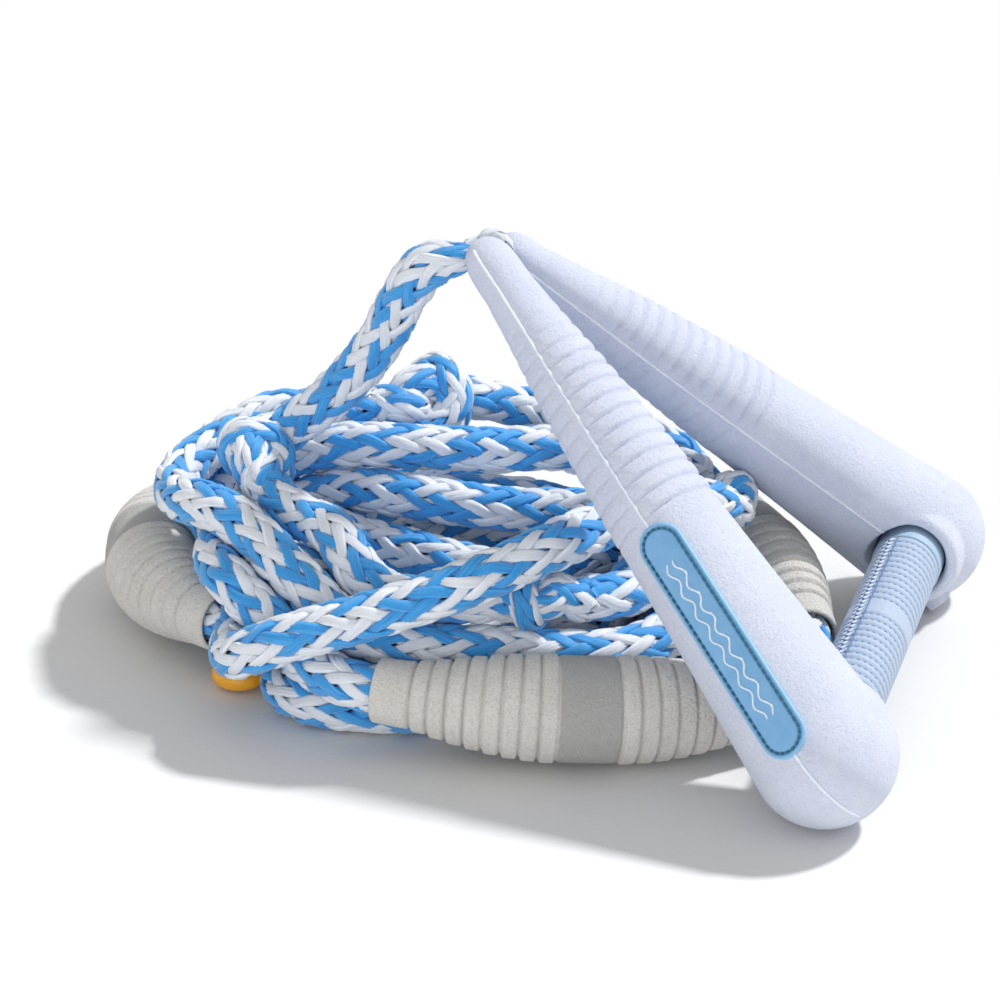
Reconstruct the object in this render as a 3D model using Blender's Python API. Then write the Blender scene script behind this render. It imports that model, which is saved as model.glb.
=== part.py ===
"""Surf tow rope and handle at rest: the handle leans on its lead rope over a coiled rope with floats.

Units are metres, +Z is up and the floor is z = 0. Positions are laid out from a point on the floor under
the handle's apex, and the finished pieces are moved by PLACE, which puts the origin on the floor in the
middle of the footprint.
"""

import math

import bmesh
import bpy
import numpy as np
from mathutils import Vector

PLACE = Vector((-0.02215, 0.01989, 0.0))        # from the point under the apex to the middle of the footprint

# ---- handle ----------------------------------------------------------------------
BULB_NEAR = np.array([0.137, -0.177, 0.0314])    # centre of each arm's rounded end, where the bar plugs in
BULB_FAR = np.array([0.205, 0.045, 0.0314])
APEX = np.array([0.001, -0.009, 0.193])          # between the tips of the two arms
TIP_OFFSET = 0.0125                              # each tip's distance from the middle of the handle
TIP_SETBACK = 0.0005                             # how far the foam stops short of the apex
ARM_AT = [0.0, 0.05, 0.314, 0.48, 0.775, 1.0]    # share of the arm's length, from its tip
ARM_R = [0.0084, 0.0120, 0.0193, 0.0230, 0.0277, 0.0320]
PARTING_TURN = 9.0                               # degrees that the moulds part off the handle's plane
BULB_R = 0.0320
ARM_SIDES = 20
HALF_GAP = 0.00015                               # each half shell's distance from the parting plane
SOCKET_R = 0.0175
SOCKET_FLOOR = 0.0110                            # distance of the socket's floor from the bulb's centre
SOCKET_CUT = 0.062                               # how far the socket's bore runs out through the arm's flank
BRIDLE_R = 0.0040
CHANNEL_R = 0.0046
BRIDLE_BEND = 0.0062
BADGE_FROM = 0.145                               # from the arm's tip to the badge's upper end
BADGE_LENGTH = 0.118
BADGE_WIDTH = 0.0215
BADGE_THICK = 0.0014
BADGE_GAP = 0.0007                               # clears the shells' facets
GAP = 0.0003                                     # clearance between neighbouring pieces
FLOOR_CUT = 0.04                                # half width of the block that flattens each bulb at the floor

# ---- bar -------------------------------------------------------------------------
BAR_END = 0.0132                                 # distance of the bar's ends from the bulbs' centres
TUBE_R = 0.0120
TUBE_BORE_R = 0.0102
PLUG_LENGTH = 0.014
CUSHION_R = 0.0146
WRAP_R = 0.0160
CUFF_R = 0.0166
CUFF_LENGTH = 0.026
LACING_WIDTH = 0.006
LACING_R = 0.0170

# ---- lead and its eye ------------------------------------------------------------
EYE_MAJOR = 0.0098
EYE_MINOR = 0.0036
EYE_SHIFT = 0.0015                               # the eye's centre from the bridle it hangs on
EYE_CLEAR = 0.0030                               # from the eye to the lead's tapered end
LEAD_AWAY = np.array([-0.97, 0.20, 0.12])        # direction in which the lead leaves the apex

# ---- rope, knots and floats ------------------------------------------------------
ROPE_R = 0.0106
ROPE_SPACE = 0.0112                              # half the least distance between two turns
ROPE_PITCH = 0.0080                              # spacing of the points that the rope is laid out on
ROPE_SIDES = 8
FLOAT_LENGTH = 0.186
FLOAT_END_R = 0.0145
FLOAT_FAT_R = 0.0240
FLOAT_BORE_R = 0.0128
FLOAT_COLLAR = 0.017
FLOAT_BAND = 0.013                               # half the length of the straight middle band
FLOAT_SIDES = 16
FLOAT_SLIDE = 0.008                              # rope laid on the float's own arc past each of its ends
COIL_CENTRE_X = -0.015

# middle, heading of the rope through it in degrees, bend radius, rise per metre
FLOATS = {
    "front": ((0.038, -0.1250, 0.0250), 4.0, 0.30, -0.06),
    "right": ((0.1195, 0.044, 0.0255), 115.0, 0.25, 0.05),
    "left": ((-0.168, 0.032, 0.0255), 276.0, 0.13, 0.055),
}
KNOT_SPACE = {"knot_lead": 0.0165, "knot_mid": 0.0135, "knot_top": 0.0205, "knot_right": 0.0175}

# ---- loop at the boat end --------------------------------------------------------
LOOP_ROOT = np.array([-0.1140, -0.0420, 0.0060])
LOOP_TIP = np.array([-0.1250, -0.0600, 0.0060])
LOOP_R = 0.0046
SLEEVE_R = 0.0058
LOOP_HALF_WIDTH = 0.0085

BAR_DIR = (BULB_FAR - BULB_NEAR) / np.linalg.norm(BULB_FAR - BULB_NEAR)
BULB_MIDDLE = (BULB_NEAR + BULB_FAR) / 2
UP_HANDLE = (APEX - BULB_MIDDLE) / np.linalg.norm(APEX - BULB_MIDDLE)
NORMAL = np.cross(BAR_DIR, UP_HANDLE) / np.linalg.norm(np.cross(BAR_DIR, UP_HANDLE))
EYE_AT = APEX + UP_HANDLE * 0.007                # the bridle's bend at the apex, which the handle turns about
LEAD_DIR = LEAD_AWAY / np.linalg.norm(LEAD_AWAY)

COLOURS = {
    "foam_lilac": ((0.72, 0.76, 0.90), 0.75, 0.0),
    "badge_blue": ((0.36, 0.58, 0.76), 0.5, 0.0),
    "wrap_blue": ((0.60, 0.74, 0.88), 0.7, 0.0),
    "cuff_blue": ((0.48, 0.64, 0.82), 0.55, 0.0),
    "lacing_blue": ((0.16, 0.24, 0.45), 0.7, 0.0),
    "rope_blue_white": ((0.62, 0.74, 0.90), 0.6, 0.0),
    "float_grey": ((0.72, 0.70, 0.63), 0.85, 0.0),
    "sleeve_orange": ((0.95, 0.55, 0.06), 0.4, 0.0),
    "tube_metal": ((0.75, 0.76, 0.78), 0.35, 1.0),
    "plug_black": ((0.05, 0.05, 0.06), 0.5, 0.0),
    "cushion_foam": ((0.25, 0.27, 0.30), 0.9, 0.0),
}


def clear_scene():
    for obj in list(bpy.data.objects):
        bpy.data.objects.remove(obj)


def material(name):
    """The named material as a Principled BSDF with its colour, roughness and metallic value."""
    found = bpy.data.materials.get(name)
    if found:
        return found
    colour, roughness, metallic = COLOURS[name]
    made = bpy.data.materials.new(name)
    made.use_nodes = True
    shader = made.node_tree.nodes["Principled BSDF"]
    shader.inputs["Base Color"].default_value = (*colour, 1.0)
    shader.inputs["Roughness"].default_value = roughness
    shader.inputs["Metallic"].default_value = metallic
    return made


def add_mesh(name, points, faces, finish=None, pivot=None, cutter=False):
    """A named object from laid-out points and faces, moved by PLACE, with its origin at pivot."""
    origin = Vector(pivot) if pivot is not None else Vector((0, 0, 0))
    mesh = bpy.data.meshes.new(name)
    mesh.from_pydata([Vector(p) - origin for p in points], [], faces)
    bm = bmesh.new()
    bm.from_mesh(mesh)
    bmesh.ops.recalc_face_normals(bm, faces=bm.faces)
    bm.to_mesh(mesh)
    bm.free()
    mesh.shade_smooth()
    mesh.set_sharp_from_angle(angle=math.radians(40))
    obj = bpy.data.objects.new(name, mesh)
    obj.location = origin + PLACE
    bpy.context.scene.collection.objects.link(obj)
    if finish:
        mesh.materials.append(material(finish))
    if cutter:
        obj.hide_render = True
        obj.display_type = "WIRE"
    return obj


def cut(obj, cutter):
    """Leaves an exact Boolean difference on obj."""
    boolean = obj.modifiers.new("cut_" + cutter.name, "BOOLEAN")
    boolean.operation = "DIFFERENCE"
    boolean.solver = "EXACT"
    boolean.object = cutter


def loft(rings, closed=False):
    """Points and faces of a skin over equal rings, capped at both ends unless it closes on itself."""
    count = len(rings)
    sides = len(rings[0])
    points = [p for ring_points in rings for p in ring_points]
    faces = []
    for i in range(count if closed else count - 1):
        a = i * sides
        b = (i + 1) % count * sides
        for k in range(sides):
            n = (k + 1) % sides
            faces.append((a + k, a + n, b + n, b + k))
    if not closed:
        faces.append(tuple(reversed(range(sides))))
        faces.append(tuple(range((count - 1) * sides, count * sides)))
    return points, faces


def tangents(path, closed=False):
    """Unit directions along a path of points."""
    if closed:
        d = np.roll(path, -1, axis=0) - np.roll(path, 1, axis=0)
    else:
        d = np.gradient(path, axis=0)
    return d / np.linalg.norm(d, axis=1)[:, None]


def frames(path, closed=False, first=None):
    """Two unit normals at each point of a path, turned as little as possible from one point to the next."""
    t = tangents(path, closed)
    side = np.array(first if first is not None else (0.0, 0.0, 1.0), float)
    normals = []
    for direction in t:
        side = side - direction * side.dot(direction)
        if np.linalg.norm(side) < 1e-6:
            side = np.cross(direction, (1.0, 0.0, 0.0))
        side = side / np.linalg.norm(side)
        normals.append(side)
    normals = np.array(normals)
    return normals, np.cross(t, normals)


def tube_rings(path, radii, sides, closed=False, first=None):
    """Rings of a round tube along a path, with a radius at each point."""
    u, v = frames(path, closed, first)
    rings = []
    for i in range(len(path)):
        rings.append([path[i] + radii[i] * (math.cos(a) * u[i] + math.sin(a) * v[i])
                      for a in (2 * math.pi * k / sides for k in range(sides))])
    return rings


def pipe(name, path, outer, inner, sides, finish, pivot=None):
    """A hollow round piece along a path, from lists of outer and inner radii."""
    skin = tube_rings(path, outer, sides)
    bore = tube_rings(path, inner, sides)
    rings = skin + bore[::-1]
    points, faces = loft(rings, closed=True)
    return add_mesh(name, points, faces, finish, pivot)


def ring(angle, radius, height):
    """A point by its angle round the coil (degrees), radius and height (millimetres)."""
    a = math.radians(angle)
    r = radius * 0.001
    return (COIL_CENTRE_X + r * math.cos(a), r * math.sin(a), height * 0.001)


def at(x, y, z):
    """A point given in millimetres."""
    return (x * 0.001, y * 0.001, z * 0.001)


def float_point(name, along):
    """A point on a float's axis, along metres from its middle."""
    (mx, my, mz), heading, radius, rise = FLOATS[name]
    h = math.radians(heading)
    a = along / radius
    x = radius * math.sin(a)
    y = radius * (1.0 - math.cos(a))
    return (mx + x * math.cos(h) - y * math.sin(h), my + x * math.sin(h) + y * math.cos(h), mz + rise * along)


def float_run(name):
    """The rope's points through a float and just past both of its ends."""
    half = FLOAT_LENGTH / 2 + FLOAT_SLIDE
    return [float_point(name, -half + 2 * half * i / 24) for i in range(25)]


def rope_lay():
    """The rope from the handle to its boat end, as (kind, points) runs in the order it was coiled."""
    return [
        ("lead", [at(-17, -12, 195), at(-32, -8, 190), at(-44, 0, 172), at(-56, 9, 146), at(-76, 16, 119),
                  at(-98, 21, 99)]),
        ("knot_lead", [at(-116, 12, 78), at(-117, 0, 66)]),
        ("rope", [at(-108, -20, 60), ring(207, 84, 57), ring(228, 82, 51), ring(248, 86, 48),
                  ring(268, 88, 48)]),
        ("knot_mid", [ring(286, 90, 54), ring(297, 90, 54)]),
        ("rope", [ring(318, 96, 52), ring(340, 102, 54), ring(2, 98, 58), ring(28, 98, 62), ring(55, 104, 68),
                  ring(75, 106, 75)]),
        ("knot_top", [ring(94, 88, 87), ring(110, 86, 89)]),
        ("rope", [ring(126, 92, 83), ring(142, 102, 78), ring(156, 124, 72), ring(169, 142, 64),
                  ring(184, 128, 60),
                  ring(202, 110, 56), ring(220, 102, 51), ring(240, 104, 43),
                  ring(262, 104, 35), ring(288, 106, 33),
                  ring(312, 112, 33), ring(338, 112, 35), ring(2, 98, 41), at(60, 20, 49),
                  at(29, 22, 53),
                  at(-10, 22, 57), at(-45, 28, 60), at(-76, 38, 58), at(-105, 44, 50), at(-134, 28, 40),
                  ring(188, 128, 36), ring(206, 122, 33), ring(222, 120, 31), at(-86, -98, 30)]),
        ("float_front", float_run("front")),
        ("rope", [at(137, -80, 22)]),
        ("float_right", float_run("right")),
        ("rope", [at(34, 152, 32), at(0, 158, 26), at(-40, 158, 20), at(-85, 150, 18), at(-122, 138, 20)]),
        ("float_left", float_run("left")),
        ("rope", [ring(221, 127, 33), ring(233, 123, 45), ring(245, 118, 58), ring(257, 114, 69),
                  ring(270, 106, 77),
                  ring(286, 97, 82), ring(308, 84, 83), at(62, -36, 80), at(86, -16, 72)]),
        ("knot_right", [at(101, 2, 63), at(104, 20, 59)]),
        ("rope", [at(90, 46, 61), at(58, 58, 67), at(24, 54, 73), at(-10, 46, 77), at(-40, 42, 79),
                  at(-70, 46, 77),
                  at(-100, 54, 70), at(-130, 50, 56), at(-148, 30, 44), at(-150, 0, 36),
                  ring(202, 118, 25),
                  ring(222, 98, 15), ring(245, 84, 12), ring(270, 78, 12), ring(300, 80, 12),
                  ring(330, 88, 12),
                  ring(355, 96, 13), at(70, 24, 20), at(40, 6, 28), at(-9, -2, 35),
                  at(-38, 8, 39), at(-67, 20, 42),
                  at(-96, 22, 40), at(-118, 2, 34), at(-116, -32, 32), ring(225, 88, 31),
                  ring(250, 82, 31), ring(280, 82, 31),
                  ring(310, 80, 33), ring(340, 76, 34), ring(10, 80, 34), ring(40, 84, 34),
                  ring(70, 88, 34),
                  ring(100, 86, 34), ring(130, 84, 34), ring(158, 88, 32), at(-112, 2, 26),
                  at(-116, -34, 17),
                  at(-92, -54, 12), ring(243, 62, 11),
                  ring(270, 56, 11), ring(300, 58, 11), ring(330, 64, 11), ring(0, 74, 11),
                  ring(30, 84, 11),
                  ring(60, 90, 11), ring(90, 98, 11), ring(120, 100, 11), ring(150, 98, 11),
                  ring(180, 98, 11),
                  ring(200, 104, 11), ring(218, 112, 11), ring(236, 108, 11),
                  ring(254, 100, 11), ring(275, 98, 11),
                  ring(300, 104, 11), ring(330, 122, 11), ring(355, 112, 11),
                  ring(20, 112, 11), ring(45, 118, 11),
                  ring(75, 124, 11), ring(105, 126, 11), ring(135, 122, 11),
                  ring(158, 114, 11), at(-124, 12, 11),
                  at(-116, -10, 11), at(-112, -30, 11)]),
    ]


def smooth_curve(points, steps):
    """A centripetal Catmull-Rom curve through the points, and the index of the point before each sample."""
    p = np.array(points)
    p = np.vstack([2 * p[0] - p[1], p, 2 * p[-1] - p[-2]])
    knots = np.concatenate([[0.0], np.cumsum(np.sqrt(np.linalg.norm(np.diff(p, axis=0), axis=1)))])
    samples = []
    before = []
    for i in range(1, len(p) - 2):
        t0, t1, t2, t3 = knots[i - 1:i + 3]
        t = np.linspace(t1, t2, steps, endpoint=False)[:, None]
        a1 = (t1 - t) / (t1 - t0) * p[i - 1] + (t - t0) / (t1 - t0) * p[i]
        a2 = (t2 - t) / (t2 - t1) * p[i] + (t - t1) / (t2 - t1) * p[i + 1]
        a3 = (t3 - t) / (t3 - t2) * p[i + 1] + (t - t2) / (t3 - t2) * p[i + 2]
        b1 = (t2 - t) / (t2 - t0) * a1 + (t - t0) / (t2 - t0) * a2
        b2 = (t3 - t) / (t3 - t1) * a2 + (t - t1) / (t3 - t1) * a3
        samples.append((t2 - t) / (t2 - t1) * b1 + (t - t1) / (t2 - t1) * b2)
        before += [i - 1] * steps
    samples.append(p[-2:-1])
    return np.vstack(samples), before + [len(p) - 3]


def handle_obstacles():
    """Centres and radii of balls that fill the handle's arms and bar, which the coil stays clear of."""
    centres = []
    radii = []
    for end, side in ((BULB_NEAR, -1.0), (BULB_FAR, 1.0)):
        tip = APEX + BAR_DIR * (TIP_OFFSET * side)
        for u in np.linspace(0.0, 1.0, 40):
            centres.append(tip + (end - tip) * u)
            radii.append(np.interp(u, ARM_AT, ARM_R))
    for u in np.linspace(0.0, 1.0, 30):
        centres.append(BULB_NEAR + (BULB_FAR - BULB_NEAR) * u)
        radii.append(0.017)
    for u in np.linspace(0.0, 1.0, 8):
        centres.append(np.array(at(-114 - 22 * u, -42 - 33 * u, 6)))
        radii.append(0.012)
    return np.array(centres), np.array(radii)


def lay_rope():
    """The rope's centre line as points, and each point's kind, with the turns pushed clear of each other."""
    runs = rope_lay()
    control = [p for _, points in runs for p in points]
    kinds = [kind for kind, points in runs for _ in points]
    fine, before = smooth_curve(control, 12)
    along = np.concatenate([[0.0], np.cumsum(np.linalg.norm(np.diff(fine, axis=0), axis=1))])
    count = int(round(along[-1] / ROPE_PITCH))
    t = np.linspace(0.0, along[-1], count + 1)
    x = np.stack([np.interp(t, along, fine[:, k]) for k in range(3)], 1)
    kind = []
    for i in np.clip(np.searchsorted(along, t, side="right") - 1, 0, len(before) - 1):
        a = kinds[before[i]]
        b = kinds[min(before[i] + 1, len(kinds) - 1)]
        kind.append(a if a == b else ("lead" if a == "lead" else "rope"))
    free = np.array([0.0 if k.startswith("float") or k == "lead" else 1.0 for k in kind])
    free[-2:] = 0.0
    lead_end = max(i for i, k in enumerate(kind) if k == "lead")
    free[lead_end - 5:lead_end + 1] = 1.0
    space = np.full(len(x), ROPE_SPACE)
    for i, k in enumerate(kind):
        if k in KNOT_SPACE:
            space[i] = KNOT_SPACE[k]
    for name in FLOATS:
        ids = [i for i, k in enumerate(kind) if k == "float_" + name]
        for i in ids:
            u = abs(2.0 * (i - ids[0]) / (ids[-1] - ids[0]) - 1.0)
            space[i] = float_radius(u * (FLOAT_LENGTH / 2 + FLOAT_SLIDE)) + 0.0012
    balls, ball_r = handle_obstacles()
    start = x.copy()
    length = np.linalg.norm(np.diff(x, axis=0), axis=1)
    first, second = np.triu_indices(len(x), 4)
    apart = (second - first) * ROPE_PITCH > np.maximum(0.030, (space[first] + space[second]) * 1.3)
    first = first[apart]
    second = second[apart]
    need = space[first] + space[second]
    rounds = 320
    for turn in range(rounds):
        if turn % 8 == 0:
            near = np.linalg.norm(x[second] - x[first], axis=1) < need + 0.012
            fi = first[near]
            se = second[near]
            ne = need[near]
        ease = 1.0 - turn / rounds
        mean = np.zeros_like(x)
        mean[1:-1] = (x[:-2] + x[2:]) / 2 - x[1:-1]
        stiff = np.zeros_like(x)
        stiff[1:-1] = (mean[:-2] + mean[2:]) / 2 - mean[1:-1]
        x += (-0.2 * stiff + 0.02 * ease * mean + 0.012 * ease * (start - x)) * free[:, None]
        for parity in (0, 1):
            a = np.arange(parity, len(x) - 1, 2)
            d = x[a + 1] - x[a]
            l = np.linalg.norm(d, axis=1)
            share = 0.5 * (l - length[a]) / l / np.maximum(free[a] + free[a + 1], 1e-9)
            x[a] += d * (share * free[a])[:, None]
            x[a + 1] -= d * (share * free[a + 1])[:, None]
        for _ in range(2):
            d = x[se] - x[fi]
            l = np.linalg.norm(d, axis=1)
            hit = (l < ne) & (free[fi] + free[se] > 0)
            i = fi[hit]
            j = se[hit]
            push = d[hit] * ((ne[hit] - l[hit]) / l[hit] / (free[i] + free[j]))[:, None]
            move = np.zeros_like(x)
            hits = np.zeros(len(x))
            np.add.at(move, i, -push * free[i][:, None])
            np.add.at(move, j, push * free[j][:, None])
            np.add.at(hits, i, 1.0)
            np.add.at(hits, j, 1.0)
            x += move / np.maximum(hits, 1.0)[:, None] * 1.1
        d = x[:, None, :] - balls[None]
        l = np.linalg.norm(d, axis=2)
        deep = np.clip(space[:, None] + ball_r[None] + 0.001 - l, 0.0, None)
        worst = deep.argmax(1)
        rows = np.arange(len(x))
        x += d[rows, worst] * (deep[rows, worst] / l[rows, worst] * free)[:, None]
        x[:, 2] += np.clip(space - x[:, 2], 0.0, None) * free
    return x, kind


def float_radius(along):
    """A float's radius at a distance along its axis from its middle."""
    d = abs(along)
    half = FLOAT_LENGTH / 2
    if d > half - FLOAT_COLLAR:
        return FLOAT_END_R
    u = min(1.0, max(0.0, (half - FLOAT_COLLAR - d) / (half - FLOAT_COLLAR - FLOAT_BAND)))
    return FLOAT_END_R + 0.0008 + (FLOAT_FAT_R - FLOAT_END_R - 0.0008) * math.sin(u * math.pi / 2) ** 1.1


# ---- handle pieces ---------------------------------------------------------------


def arm_side(near):
    """An arm's tip, bulb centre and direction, and its parting plane's outward direction and normal."""
    side = -1.0 if near else 1.0
    end = BULB_NEAR if near else BULB_FAR
    start = APEX + BAR_DIR * (TIP_OFFSET * side) - UP_HANDLE * TIP_SETBACK
    along = (end - start) / np.linalg.norm(end - start)
    out = BAR_DIR * side
    out = out - along * out.dot(along)
    out = out / np.linalg.norm(out)
    turn = math.radians(-PARTING_TURN * side)
    parted = out * math.cos(turn) + NORMAL * math.sin(turn)
    return start, end, along, parted, NORMAL * math.cos(turn) - out * math.sin(turn)


def arm_radius(distance, length):
    """The arm's radius at a distance from its tip, rounding off past the bulb's centre."""
    if distance <= length:
        return float(np.interp(distance / length, ARM_AT, ARM_R))
    return math.sqrt(max(0.0, BULB_R ** 2 - (distance - length) ** 2))


def arm_half(name, near, upper):
    """Half of an arm's moulded foam, split on its parting plane, with its channel and bar socket cut out."""
    start, end, along, out, up = arm_side(near)
    length = np.linalg.norm(end - start)
    shares = (0.05, 0.12, 0.2, 0.314, 0.4, 0.48, 0.58, 0.68, 0.775, 0.86, 0.93, 1.0)
    stations = [0.0, 0.0015] + [length * s for s in shares]
    stations += [length + BULB_R * math.sin(math.radians(a)) for a in (18, 36, 52, 66, 78)]
    normal = up if upper else -up
    rings = []
    for d in stations:
        r = arm_radius(d, length) if d > 0.0 else arm_radius(0.0, length) - 0.0015
        centre = start + along * d
        steps = ARM_SIDES // 2
        flat = math.asin(HALF_GAP / r)
        ring_points = []
        for k in range(steps + 1):
            a = flat + (math.pi - 2 * flat) * k / steps
            ring_points.append(centre + r * (math.cos(a) * out + math.sin(a) * normal))
        rings.append(ring_points)
    points, faces = loft(rings)
    return add_mesh(name, points, faces, "foam_lilac", EYE_AT)


def bridle_path(radius_steps=5):
    """The closed path of the bridle: bend at the apex, down one arm, through the bar, up the other."""
    side_points = {}
    for near in (True, False):
        start, end, along, _, _ = arm_side(near)
        bar = BAR_DIR if near else -BAR_DIR
        cosine = float(np.dot(-along, bar))
        half = math.acos(cosine) / 2
        back = BRIDLE_BEND / math.tan(half)
        inside = (-along + bar) / np.linalg.norm(-along + bar)
        centre = end + inside * (BRIDLE_BEND / math.sin(half))
        first = end - along * back
        last = end + bar * back
        a = (first - centre) / BRIDLE_BEND
        b = (last - centre) / BRIDLE_BEND
        sweep = math.acos(float(np.clip(a.dot(b), -1, 1)))
        corner = []
        for k in range(radius_steps + 1):
            t = k / radius_steps
            corner.append(centre + BRIDLE_BEND * (math.sin((1 - t) * sweep) * a + math.sin(t * sweep) * b)
                          / math.sin(sweep))
        leg = [start + along * (0.001 + (np.linalg.norm(first - start) - 0.012) * k / 4) for k in range(5)]
        side_points[near] = leg + corner
    bend = []
    rise = (EYE_AT - APEX).dot(UP_HANDLE) + TIP_SETBACK
    middle = EYE_AT - UP_HANDLE * rise
    for k in range(1, 10):
        a = math.pi * k / 10
        bend.append(middle + TIP_OFFSET * math.cos(a) * BAR_DIR + rise * math.sin(a) * UP_HANDLE)
    span = [BULB_NEAR + (BULB_FAR - BULB_NEAR) * s for s in (0.3, 0.5, 0.7)]
    path = side_points[True] + span + side_points[False][::-1] + bend
    return np.array(path), side_points


def build_handle():
    path, side_points = bridle_path()
    rings = tube_rings(path, [BRIDLE_R] * len(path), ROPE_SIDES, closed=True, first=NORMAL)
    points, faces = loft(rings, closed=True)
    add_mesh("bridle_rope", points, faces, "rope_blue_white", EYE_AT)
    for near, label in ((True, "near"), (False, "far")):
        start, end, along, _, _ = arm_side(near)
        bar = BAR_DIR if near else -BAR_DIR
        channel = np.array([start - along * 0.004] + side_points[near] + [end + bar * 0.0135])
        rings = tube_rings(channel, [CHANNEL_R] * len(channel), 10, first=NORMAL)
        points, faces = loft(rings)
        channel_cut = add_mesh("channel_" + label, points, faces, cutter=True)
        at_bar = np.array([end + bar * d for d in (SOCKET_FLOOR, SOCKET_CUT)])
        rings = tube_rings(at_bar, [SOCKET_R, SOCKET_R], 24, first=NORMAL)
        points, faces = loft(rings)
        socket_cut = add_mesh("socket_" + label, points, faces, cutter=True)
        below = [[(end[0] + x, end[1] + y, z) for x, y in ((-FLOOR_CUT, -FLOOR_CUT), (FLOOR_CUT, -FLOOR_CUT),
                                                          (FLOOR_CUT, FLOOR_CUT), (-FLOOR_CUT, FLOOR_CUT))]
                 for z in (-FLOOR_CUT, 0.0)]
        points, faces = loft(below)
        floor_cut = add_mesh("floor_" + label, points, faces, cutter=True)
        for upper, half in ((True, "upper"), (False, "lower")):
            shell = arm_half("arm_" + label + "_" + half, near, upper)
            cut(shell, channel_cut)
            cut(shell, socket_cut)
            if not upper:
                cut(shell, floor_cut)
        build_badge("badge_" + label, near)


def build_badge(name, near):
    """A thin rounded plate that follows the outer side of an arm, over the parting line."""
    start, end, along, out, across = arm_side(near)
    length = np.linalg.norm(end - start)
    columns = 15
    rows = 5
    lower = []
    upper = []
    for i in range(columns):
        t = -1.0 + 2.0 * i / (columns - 1)
        d = BADGE_FROM + BADGE_LENGTH * (t + 1.0) / 2
        to_end = (1.0 - abs(t)) * BADGE_LENGTH / 2
        half = BADGE_WIDTH / 2
        if to_end < half:
            half = math.sqrt(max(0.0, half ** 2 - (half - to_end) ** 2)) + 0.0015
        for j in range(rows):
            w = half * (-1.0 + 2.0 * j / (rows - 1))
            r = arm_radius(d, length) + BADGE_GAP
            a = w / r
            turn = math.cos(a) * out + math.sin(a) * across
            lower.append(start + along * d + turn * r)
            upper.append(start + along * d + turn * (r + BADGE_THICK))
    points = lower + upper
    faces = []
    count = len(lower)

    def at_grid(i, j, top):
        return (count if top else 0) + i * rows + j

    for i in range(columns - 1):
        for j in range(rows - 1):
            around = [(i, j), (i, j + 1), (i + 1, j + 1), (i + 1, j)]
            faces.append([at_grid(a, b, 0) for a, b in around])
            faces.append([at_grid(a, b, 1) for a, b in reversed(around)])
    for i in range(columns - 1):
        for j in (0, rows - 1):
            faces.append((at_grid(i, j, 0), at_grid(i + 1, j, 0), at_grid(i + 1, j, 1), at_grid(i, j, 1)))
    for j in range(rows - 1):
        for i in (0, columns - 1):
            faces.append((at_grid(i, j, 0), at_grid(i, j + 1, 0), at_grid(i, j + 1, 1), at_grid(i, j, 1)))
    add_mesh(name, points, faces, "badge_blue", EYE_AT)


# ---- bar -------------------------------------------------------------------------


def bar_line(from_near, from_far, count=2):
    """Points on the bar's axis between two distances from the bulbs' centres."""
    a = BULB_NEAR + BAR_DIR * from_near
    b = BULB_FAR - BAR_DIR * from_far
    return np.array([a + (b - a) * k / (count - 1) for k in range(count)])


def sleeve(name, line, outer, inner, finish, sides=24):
    pipe(name, line, [outer] * len(line), [inner] * len(line), sides, finish, BULB_NEAR)


def build_bar():
    span = np.linalg.norm(BULB_FAR - BULB_NEAR)
    sleeve("bar_tube", bar_line(BAR_END, BAR_END), TUBE_R, TUBE_BORE_R, "tube_metal")
    plug_r = TUBE_BORE_R - GAP
    rest = span - BAR_END - PLUG_LENGTH
    sleeve("tube_plug_near", bar_line(BAR_END, rest), plug_r, CHANNEL_R, "plug_black")
    sleeve("tube_plug_far", bar_line(rest, BAR_END), plug_r, CHANNEL_R, "plug_black")
    sleeve("bar_cushion", bar_line(BAR_END, BAR_END), CUSHION_R, TUBE_R + GAP, "cushion_foam")
    cuff_from = BAR_END + CUFF_LENGTH
    sleeve("bar_wrap", bar_line(cuff_from + GAP, cuff_from + GAP), WRAP_R, CUSHION_R + GAP, "wrap_blue")
    rest = span - cuff_from
    sleeve("bar_cuff_near", bar_line(BAR_END, rest), CUFF_R, CUSHION_R + GAP, "cuff_blue")
    sleeve("bar_cuff_far", bar_line(rest, BAR_END), CUFF_R, CUSHION_R + GAP, "cuff_blue")
    build_lacing(cuff_from + 0.002)


def build_lacing(inset):
    """The laced seam that closes the wrap, a raised strip along its outer upper side."""
    line = bar_line(inset, inset, 2)
    middle = UP_HANDLE * math.cos(math.radians(20)) + NORMAL * math.sin(math.radians(20))
    side = np.cross(BAR_DIR, middle)
    rings = []
    for centre in line:
        ring_points = []
        for r, order in ((WRAP_R + GAP, (-2, -1, 0, 1, 2)), (LACING_R, (2, 1, 0, -1, -2))):
            for k in order:
                a = k * LACING_WIDTH / 4 / WRAP_R
                ring_points.append(centre + r * (math.cos(a) * middle + math.sin(a) * side))
        rings.append(ring_points)
    points, faces = loft(rings)
    add_mesh("wrap_lacing", points, faces, "lacing_blue", BULB_NEAR)


# ---- rope, floats and loop -------------------------------------------------------


def rope_tube(name, path, radii, pivot=None):
    rings = tube_rings(path, radii, ROPE_SIDES)
    points, faces = loft(rings)
    add_mesh(name, points, faces, "rope_blue_white", pivot)


def thin_out(path, step):
    """Every step-th point of a path, keeping its last point."""
    kept = list(range(0, len(path) - 1, step))
    if len(path) - 1 - kept[-1] < step // 2 + 1 and len(kept) > 1:
        kept.pop()
    return path[kept + [len(path) - 1]]


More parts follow.
